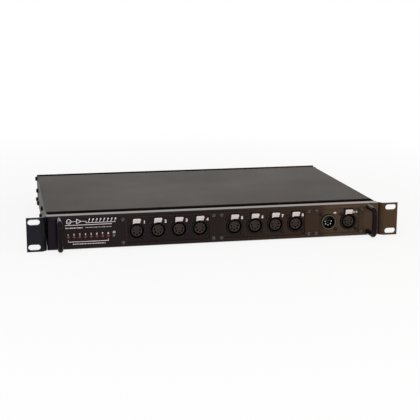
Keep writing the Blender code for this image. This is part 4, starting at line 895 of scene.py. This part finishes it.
# lamps on their board
def lampMesh(size):
    radius, foot = size["radius"], 0.1 - size["boardFront"]
    dome = crownPoints(0, -radius - size["tip"], radius, radius, 8)
    wide = radius + size["rim"]
    return turnedMesh(dome + [(radius, -size["collar"]), (wide, -size["collar"]), (wide, foot), (0, foot)], 32,
                      toFront)


for look, numbers in (("castEpoxyRed", range(8)), ("castEpoxyGreen", (8,))):
    lamp = lampMesh(lampRow)
    for k in numbers:
        addPiece("lamp_%d" % (k + 1), lamp, look, "board_green", "lamp_board", (lampPlaces[k], 0, lampRow["level"]))
board = blockMesh((lampPlaces[0] - lampRow["boardMargin"], lampRow["boardFront"], lampRow["boardLow"]),
                  (lampPlaces[-1] + lampRow["boardMargin"], lampRow["boardFront"] + lampRow["board"],
                   lampRow["boardHigh"]), 0.1, 1)
addPiece("lampBoard", board, "solderMaskedLaminate", "board_green", "lamp_board")
print("lamps")


# boards behind the panel and what they carry
boardSize = dict(
    thick=1.6, back=25.3, levels=(-15.8, 13.2), joint=1.3,
    mainHalf=190.0, mainDepth=(46.0, 191.0), mainLevel=-15.5, channelPitch=40.0,
    converter=(20.0, 12.0, 10.0), converterY=90.0,  # width, run and height
    chip=(10.0, 6.5, 3.5), chipRows=(70.0, 112.0), leadPitch=1.27,
    can=(6.0, 22.0), cans=((-120, 175), (-100, 175), (-80, 175)),  # radius and height, places
)
boardTop = boardSize["mainLevel"] + boardSize["thick"]


def dentMesh(radius, floor, x, y, steps):  # the mark of the first lead
    return turnedMesh([(0, 20), (radius, 20), (radius, floor), (0, floor)], steps, moved(x, y, 0))


def converterMesh(width, run, height):
    return shaped([slabMesh(width, run, 0.4, height, 0.5)],
                  [dentMesh(1.1, height - 0.3, 2.4 - width / 2, run / 2 - 2.4, 24)])


def chipMesh(width, run, height):
    return shaped([slabMesh(width, run - 2.2, 0.3, height, 0.3)], [dentMesh(0.7, height - 0.3, -width / 2, 0, 16)])


def leadsMesh(width, run, height):  # gull-wing leads down both long sides of a chip
    end, middle = run / 2, height * 0.55
    side = [(end - 1.3, middle + 0.2), (end - 0.55, middle + 0.2), (end - 0.35, 0.25), (end, 0.25),
            (end, 0), (end - 0.6, 0), (end - 0.8, middle - 0.05), (end - 1.3, middle - 0.05)]
    return copies(plateMesh([side], 0.42, alongWidth),
                  [moved((k - 3) * boardSize["leadPitch"], 0, 0) @ spun(turn) for k in range(7) for turn in (0, 180)])


def canMesh(radius, height):
    groove = radius - 0.4
    return turnedMesh([(0, height - 0.7), (radius - 1.6, height - 0.7), (radius - 1.4, height), (groove, height),
                       (radius, height - 0.6), (radius, height - 2.6), (groove, height - 3.1),
                       (radius, height - 3.6), (radius, 0.5), (groove, 0), (0, 0)], 40)


ribbonSize = dict(width=25.0, cores=20, sheet=1.0, groove=0.3, steps=28, ends=((27.2, 3.2), (56.0, -13.1)))


def ribbonMesh(size):  # ribs over the cores, swept down a soft S
    half, count = size["width"] / 2, size["cores"] * 4
    top = [(-half + size["width"] * k / count,
            size["sheet"] / 2 - size["groove"] * (0.5 + 0.5 * cos(2 * pi * k / 4))) for k in range(count + 1)]
    loop = top + [(x, -h) for x, h in reversed(top)]
    (y0, z0), (y1, z1) = size["ends"]
    bm = bmesh.new()
    rings = []
    for k in range(size["steps"] + 1):
        t = k / size["steps"]
        y, z = y0 + (y1 - y0) * t, z0 + (z1 - z0) * (1 - cos(pi * t)) / 2
        slope = Vector((y1 - y0, (z1 - z0) * pi / 2 * sin(pi * t))).normalized()
        rings.append([bm.verts.new((x, y - h * slope.y, z + h * slope.x)) for x, h in loop])
    for a, b in zip(rings, rings[1:]):
        for k in range(len(loop)):
            n = (k + 1) % len(loop)
            bm.faces.new((a[k], a[n], b[n], b[k]))
    bm.faces.new(rings[0])
    bm.faces.new(rings[-1])
    return meshOf(bm)


joint = turnedMesh([(0, 1.5), (0.35, 1.4), (0.5, 0.8), (0.9, 0.3), (boardSize["joint"], 0), (0, 0)], 12)  # of solder
ribbon = ribbonMesh(ribbonSize)
low, high = boardSize["levels"]
for number, (middle, ways, half, reach) in enumerate(row["windows"], start=1):
    node = "connector_board_%d" % number
    front, back = boardSize["back"], boardSize["back"] + boardSize["thick"]
    addPiece("connectorBoard_%d" % number, blockMesh((middle - half, front, low), (middle + half, back, high), 0.1, 1),
             "solderMaskedLaminate", "board_green", node)
    tails = [moved(centre + x, back - 0.05, row["level"] + z) @ toRear for centre in centres
             if abs(centre - middle) < half for x, z in contacts]
    addPiece("solderJoints_%d" % number, copies(joint, tails), "reflowedSolder", "board_green", node)
    addPiece("ribbonCable_%d" % number, ribbon, "extrudedVinyl", "ribbon_grey", "ribbon_cable_%d" % number,
             (middle, 0, 0))

half, (near, far) = boardSize["mainHalf"], boardSize["mainDepth"]
sheet = blockMesh((-half, near, boardSize["mainLevel"]), (half, far, boardTop), 0.1, 1)
drills = drillMesh([moved(x, y, boardTop) for x, y in traySize["postPlaces"]], plateSize["screwHole"])
addPiece("mainBoard", shaped([sheet], [drills]), "solderMaskedLaminate", "board_green", "main_board")
channels = [(k - 3.5) * boardSize["channelPitch"] for k in range(8)]
chips = [(x, y) for x in channels for y in boardSize["chipRows"]]
for name, mesh, look, places in (
        ("isolatingConverters", converterMesh(*boardSize["converter"]), "mouldedEpoxy",
         [(x, boardSize["converterY"]) for x in channels]),
        ("lineDrivers", chipMesh(*boardSize["chip"]), "mouldedEpoxy", chips),
        ("driverLeads", leadsMesh(*boardSize["chip"]), "reflowedSolder", chips),
        ("supplyCapacitors", canMesh(*boardSize["can"]), "shrunkSleeveFilm", boardSize["cans"])):
    addPiece(name, copies(mesh, [moved(x, y, boardTop) for x, y in places]), look, "board_green", "main_board")
print("boards")


# mains transformer
transformerSize = dict(
    middle=(115.0, 240.0, 0), floor=-19.7, strap=(68.0, 18.0, 2.5), core=(46.2, 56.0, 29.0),  # width, run, height
    lamination=1.0, groove=0.25,  # coarser than real sheets, so that they show
    coil=(30.0, 69.4, 21.0), coilLift=4.0, bolts=((-29.0, 0.0), (29.0, 0.0)),
    nut=((0, 6.0), (1.5, 6.0), (1.5, 2.4), (2.9, 2.4), (3.2, 2.0), (3.2, 0.4), (2.9, 0), (0, 0)),
)


def coreMesh(size):  # laminations on edge, stacked towards the back
    width, run, height = size["core"]
    base, thick, inset = size["floor"], size["lamination"], size["groove"]
    meshes = [slabMesh(width - 2 * inset, run - 2 * inset, base + inset, base + height - inset)]
    for k in range(int(run / thick)):
        y = -run / 2 + thick * k
        meshes.append(blockMesh((-width / 2, y + inset / 2, base), (width / 2, y + thick - inset / 2, base + height)))
    return together(*meshes)


floor, strapTop = transformerSize["floor"], transformerSize["strap"][2]
bolts = transformerSize["bolts"]
width, run, height = transformerSize["coil"]
lift = floor + transformerSize["coilLift"]
coil = slabMesh(width, run, lift, lift + height, 3.5, 5)
width, run, height = transformerSize["strap"]
strap = shaped([slabMesh(width, run, floor, floor + height, 0.6)],
               [drillMesh([moved(x, y, floor) for x, y in bolts], screwHole)])
nuts = copies(turnedMesh(transformerSize["nut"], 6), [moved(x, y, floor + strapTop) for x, y in bolts])
for name, mesh, look, slotName, node in (
        ("Core", coreMesh(transformerSize), "varnishedLaminations", "transformer_iron", "mains_transformer"),
        ("Coil", coil, "woundPolyesterTape", "transformer_iron", "mains_transformer"),
        ("Strap", strap, "zincPlatedSteel", "transformer_iron", "mains_transformer"),
        ("Nuts", nuts, "zincPlatedSteel", "tray_paint", "chassis_tray")):
    addPiece("transformer" + name, mesh, look, slotName, node, transformerSize["middle"])
print("transformer")


# screen print, drawn on a plane and then laid on its surface
printSize = dict(
    film=0.06, sunk=0.02, line=0.6, digit=2.2, digitLevel=-1.9, digitWeight=0.12,
    bracket=(-190.6, -140.4, -9.1, -11.3), ruleUnderDiagram=(-194.0, -136.0, 10.0),
    # start, end, level, height, widths of the dashes
    dashes=((-193.5, -172.5, 6.4, 1.2, (1.4, 0.8, 1.0, 1.9, 1.1)),
            (-169.0, -136.5, 6.4, 0.55, (1.1, 2.0, 0.8, 1.5, 0.9)),
            (-184.9, -144.5, -14.2, 1.0, (1.9, 1.0, 1.4, 0.8, 1.3))),
    dashGap=0.8, power=(0.3, -0.9, 1.5), powerLine=0.55, powerBar=0.56,
    plateDigit=3.5, plateDigitPlace=(9.9, 9.7), plateDigitWeight=0.24, arrowLevel=10.6, arrowHalf=1.4, shaft=0.9,
    # connector, offset, ends of the shaft, where each head starts and how far it points
    arrows=((8, 8.6, (-2.2, 0.3), ((0.1, 2.1),)), (9, 9.4, (-1.8, 1.8), ((1.6, 1.8), (-1.6, -1.8)))),
)
diagramSize = dict(
    level=14.6, stroke=0.5, socket=-189.4, rings=(3.2, 2.5), contactCircle=1.5, contact=0.38,
    lines=(((-186.2, 0), (-180.0, 0)), ((-173.6, 0), (-168.0, 0)), ((-168.0, -2.2), (-131.6, -2.2)),
           ((-168.0, -2.5), (-168.0, 0.35))),
    buffer=([(-180.0, -3.4), (-173.6, 0), (-180.0, 3.4)], [(-179.3, -2.3), (-175.0, 0), (-179.3, 2.3)]),
    tap=((-1.0, -2.2), (0.4, 1.6)), tapHead=[(-0.7, 1.4), (1.5, 1.4), (0.95, 3.7)],
    taps=[-164.4 + 4.65 * k for k in range(8)],
)


def filmBlock(x0, x1, z0, z1):
    return blockMesh((x0, -printSize["film"], z0), (x1, printSize["sunk"], z1))


def filmShape(*loops):
    return sheetMesh(loops, -printSize["film"], printSize["sunk"])


def filmLine(a, b, width):  # a straight stroke between two points
    start, end = Vector(a), Vector(b)
    run = end - start
    across = Vector((-run.y, run.x)).normalized() * width / 2
    return filmShape([start + across, start - across, end - across, end + across])


def digitMesh(text, x, z, height, weight):
    curve = bpy.data.curves.new("digit", "FONT")
    curve.body = text
    curve.size = height / 0.7  # a figure is 0.7 of the size tall
    curve.extrude = (printSize["film"] + printSize["sunk"]) / 2
    curve.offset = weight
    curve.resolution_u = 4
    mesh = baked(helper(curve))
    xs = [v.co.x for v in mesh.vertices]
    ys = [v.co.y for v in mesh.vertices]
    centre = moved(-(min(xs) + max(xs)) / 2, -(min(ys) + max(ys)) / 2, 0)
    mesh.transform(facing(x, (printSize["sunk"] - printSize["film"]) / 2, z) @ centre)
    return mesh


def flowDiagram(size):  # one line in, a buffer, eight taps
    x, circle, stroke = size["socket"], size["contactCircle"], size["stroke"]
    marks = [filmShape(*[circleOutline(x, 0, radius) for radius in size["rings"]]), filmShape(*size["buffer"])]
    marks += [filmShape(circleOutline(x + circle * cos(a), circle * sin(a), size["contact"], 12))
              for a in contactAngles]
    marks += [filmLine(*line, stroke) for line in size["lines"]]
    tap = together(filmLine(*size["tap"], stroke), filmShape(size["tapHead"]))
    marks.append(copies(tap, [moved(x, 0, 0) for x in size["taps"]]))
    mesh = together(*marks)
    mesh.transform(moved(0, 0, size["level"]))
    return mesh


def panelMarks(size):
    marks = [digitMesh(str(k + 1), lampPlaces[k], size["digitLevel"], size["digit"], size["digitWeight"])
             for k in range(8)]
    left, right, top, low = size["bracket"]
    line = size["line"]
    marks += [filmBlock(left, right, low - line / 2, low + line / 2),
              filmBlock(left, left + line, low + line / 2, top),
              filmBlock(right - line, right, low + line / 2, top)]
    start, end, level = size["ruleUnderDiagram"]
    marks.append(filmBlock(start, end, level - line / 2, level + line / 2))
    for x, end, level, height, widths in size["dashes"]:  # generic, where small lettering would be
        k = 0
        while x < end:
            width = widths[k % len(widths)]
            marks.append(filmBlock(x, min(x + width, end), level - height / 2, level + height / 2))
            x += width + size["dashGap"]
            k += 1
    offset, z, radius = size["power"]
    x = lampPlaces[8] + offset
    stroke, half = size["powerLine"], size["powerBar"] / 2
    outer, inner = arcPoints((x, z), radius, 125, 415, 28), arcPoints((x, z), radius - stroke, 415, 125, 28)
    return marks + [filmShape(outer + inner), filmBlock(x - half, x + half, z, z + radius + 0.2)]


def plateMarks(size):
    dx, dz = size["plateDigitPlace"]
    marks = [digitMesh(str(k + 1), centres[k] + dx, dz, size["plateDigit"], size["plateDigitWeight"])
             for k in range(8)]
    z, half = size["arrowLevel"], size["arrowHalf"]
    for k, offset, (start, end), heads in size["arrows"]:
        x = centres[k] + offset
        marks.append(filmLine((x + start, z), (x + end, z), size["shaft"]))
        marks += [filmShape([(x + foot, z - half), (x + foot + tip, z), (x + foot, z + half)]) for foot, tip in heads]
    return marks


for name, marks, surfaceY in (("panelPrint", panelMarks(printSize) + [flowDiagram(diagramSize)], panelSize["front"]),
                              ("platePrint", plateMarks(printSize), row["plateFront"])):
    mesh = together(*marks)
    mesh.transform(moved(0, surfaceY, 0))
    addPiece(name, mesh, "screenPrintInk", "panel_paint", None)
print("screen print")


# rear panel, mains inlet and switch
rearSize = dict(
    front=293.0, halfWidth=216.9, low=-21.5, high=22.1, corner=0.8, brokenEdge=0.25,
    inletX=-160.0, inletOpening=(28.0, 20.5, 1.0), switchX=-115.0, switchOpening=(19.2, 13.0, 0.6),
    inletScrews=20.0,
)
outer = depth + gap
inletX, switchX = rearSize["inletX"], rearSize["switchX"]
inletScrewX = [inletX + side * rearSize["inletScrews"] for side in (-1, 1)]


def rearMesh(size):
    middle, height = (size["low"] + size["high"]) / 2, size["high"] - size["low"]
    loops = [roundedOutline(0, middle, 2 * size["halfWidth"], height, size["corner"], 3),
             roundedOutline(inletX, 0, *size["inletOpening"], 4),
             roundedOutline(switchX, 0, *size["switchOpening"], 4)]
    loops += [circleOutline(x, z, screwHole, 24) for x, z in railSize["rearScrews"]]
    loops += [circleOutline(x, 0, screwHole, 24) for x in inletScrewX]
    return sheetMesh(loops, size["front"], depth, size["brokenEdge"])


inletSize = dict(
    flange=(50.0, 25.0, 4.0), flangeThick=2.5, body=(27.4, 19.9), bodyBack=22.0,
    socket=(24.2, 16.4), socketChamfer=5.0, socketDepth=16.0,
    blade=(2.0, 4.0), blades=((-7.0, -2.0), (0.0, 2.0), (7.0, -2.0)), bladeRecess=2.0, screwSeat=1.6,
)


def inletMesh(size):
    body = uprightMesh(inletX, *size["body"], outer - size["bodyBack"], outer + 1, 0.8)
    thick, deep, cut = size["flangeThick"], size["socketDepth"], size["socketChamfer"]
    flange = sheetMesh([roundedOutline(inletX, 0, *size["flange"])], outer, outer + thick, 0.5)
    half, tall = size["socket"][0] / 2, size["socket"][1] / 2
    outline = [(-half, -tall), (half, -tall), (half, tall - cut), (half - cut, tall), (cut - half, tall),
               (-half, tall - cut)]  # the two upper corners are cut, as in every such inlet
    socket = sheetMesh([[(inletX + x, z) for x, z in outline]], outer + thick - deep, outer + thick + 5)
    seat = turnedMesh([(0, 6), (3.2, 6), (3.2, thick - 0.8), (1.8, 0.4), (1.8, -10), (0, -10)], 32)
    seats = copies(seat, [moved(x, outer, 0) @ toRear for x in inletScrewX])
    return shaped([body, flange], [socket, seats], edge=0.15, steps=1)


def bladeMesh(size):
    face = outer + size["flangeThick"]
    thick, tall = size["blade"]
    return together(*[blockMesh((inletX + x - thick / 2, face - size["socketDepth"] - 2, z - tall / 2),
                                (inletX + x + thick / 2, face - size["bladeRecess"], z + tall / 2), 0.5, 3)
                      for x, z in size["blades"]])


switchSize = dict(
    bezel=(23.0, 17.0, 1.2), bezelThick=2.0, body=(18.6, 12.4), bodyBack=16.0, mouth=(16.2, 10.0), wall=1.2,
    rockerReach=7.5, rockerHalf=4.7, rockerTilt=10.0, faceAngle=26.0, rockerDeep=7.0,
)


def switchFrameMesh(size):
    back = outer - size["bodyBack"]
    bezel = sheetMesh([roundedOutline(switchX, 0, *size["bezel"])], outer, outer + size["bezelThick"], 0.4)
    body = uprightMesh(switchX, *size["body"], back, outer + 1, 0.4)
    return shaped([bezel, body], [uprightMesh(switchX, *size["mouth"], back + size["wall"], outer + 10, 0.4)])


def rockerMesh(size):  # seen along its axle: a shallow V for a face and a round back
    reach, deep, faceAngle = size["rockerReach"], size["rockerDeep"], size["faceAngle"]
    x, y = reach * cos(radians(faceAngle)), reach * sin(radians(faceAngle))
    dip = y - x * sin(radians(size["rockerTilt"]))
    face = [(x * t, dip + (y - dip) * abs(t) ** 1.3) for t in (1, 0.75, 0.5, 0.25, 0, -0.25, -0.5, -0.75, -1)]
    back = arcPoints((0, 0), reach, 180 - faceAngle, 180, 3)[1:]
    back += [(-reach * 0.72, -deep * 0.55), (0, -deep), (reach * 0.72, -deep * 0.55)]
    back += arcPoints((0, 0), reach, 0, faceAngle, 3)[:-1]
    return plateMesh([face + back], 2 * size["rockerHalf"], edge=0.35), x, (y + dip) / 2, y - dip


rocker, cornerX, faceY, rise = rockerMesh(switchSize)
turned = moved(switchX, outer, 0) @ spun(switchSize["rockerTilt"])
rocker.transform(turned)
signs = []
for side, loops in ((-1, [circleOutline(0, 0, 1.8), circleOutline(0, 0, 1.2)]),  # a ring for off and a bar for on
                    (1, [roundedOutline(0, 0, 0.7, 3.6, 0.1)])):
    lean = Matrix.Rotation(side * rise / cornerX, 4, "Z")
    signs.append(plateMesh(loops, 0.12, turned @ moved(side * cornerX / 2, faceY - 0.02, 0) @ lean @ toRear))

addPiece("rearPanel", rearMesh(rearSize), "powderCoatedPanel", "panel_paint", "rear_panel")
addPiece("mainsInlet", inletMesh(inletSize), "mouldedMainsPlastic", "inlet_plastic", "mains_inlet")
addPiece("inletBlades", bladeMesh(inletSize), "satinNickelPlate", "inlet_plastic", "mains_inlet")
addScrews("inletScrew_", "inlet", "blackOxideSteel", "inlet_plastic", [
    ("mains_inlet", toRear, degrees(k + 0.4), (x, outer + inletSize["screwSeat"], 0))
    for k, x in enumerate(inletScrewX)])
addPiece("switchFrame", switchFrameMesh(switchSize), "mouldedMainsPlastic", "inlet_plastic", "switch_frame")
addPiece("switchRocker", rocker, "polishedRockerPlastic", "rocker_plastic", "switch_rocker", body="rocker")
addPiece("rockerSigns", together(*signs), "screenPrintInk", "rocker_plastic", "switch_rocker", body="rocker")
print("rear")
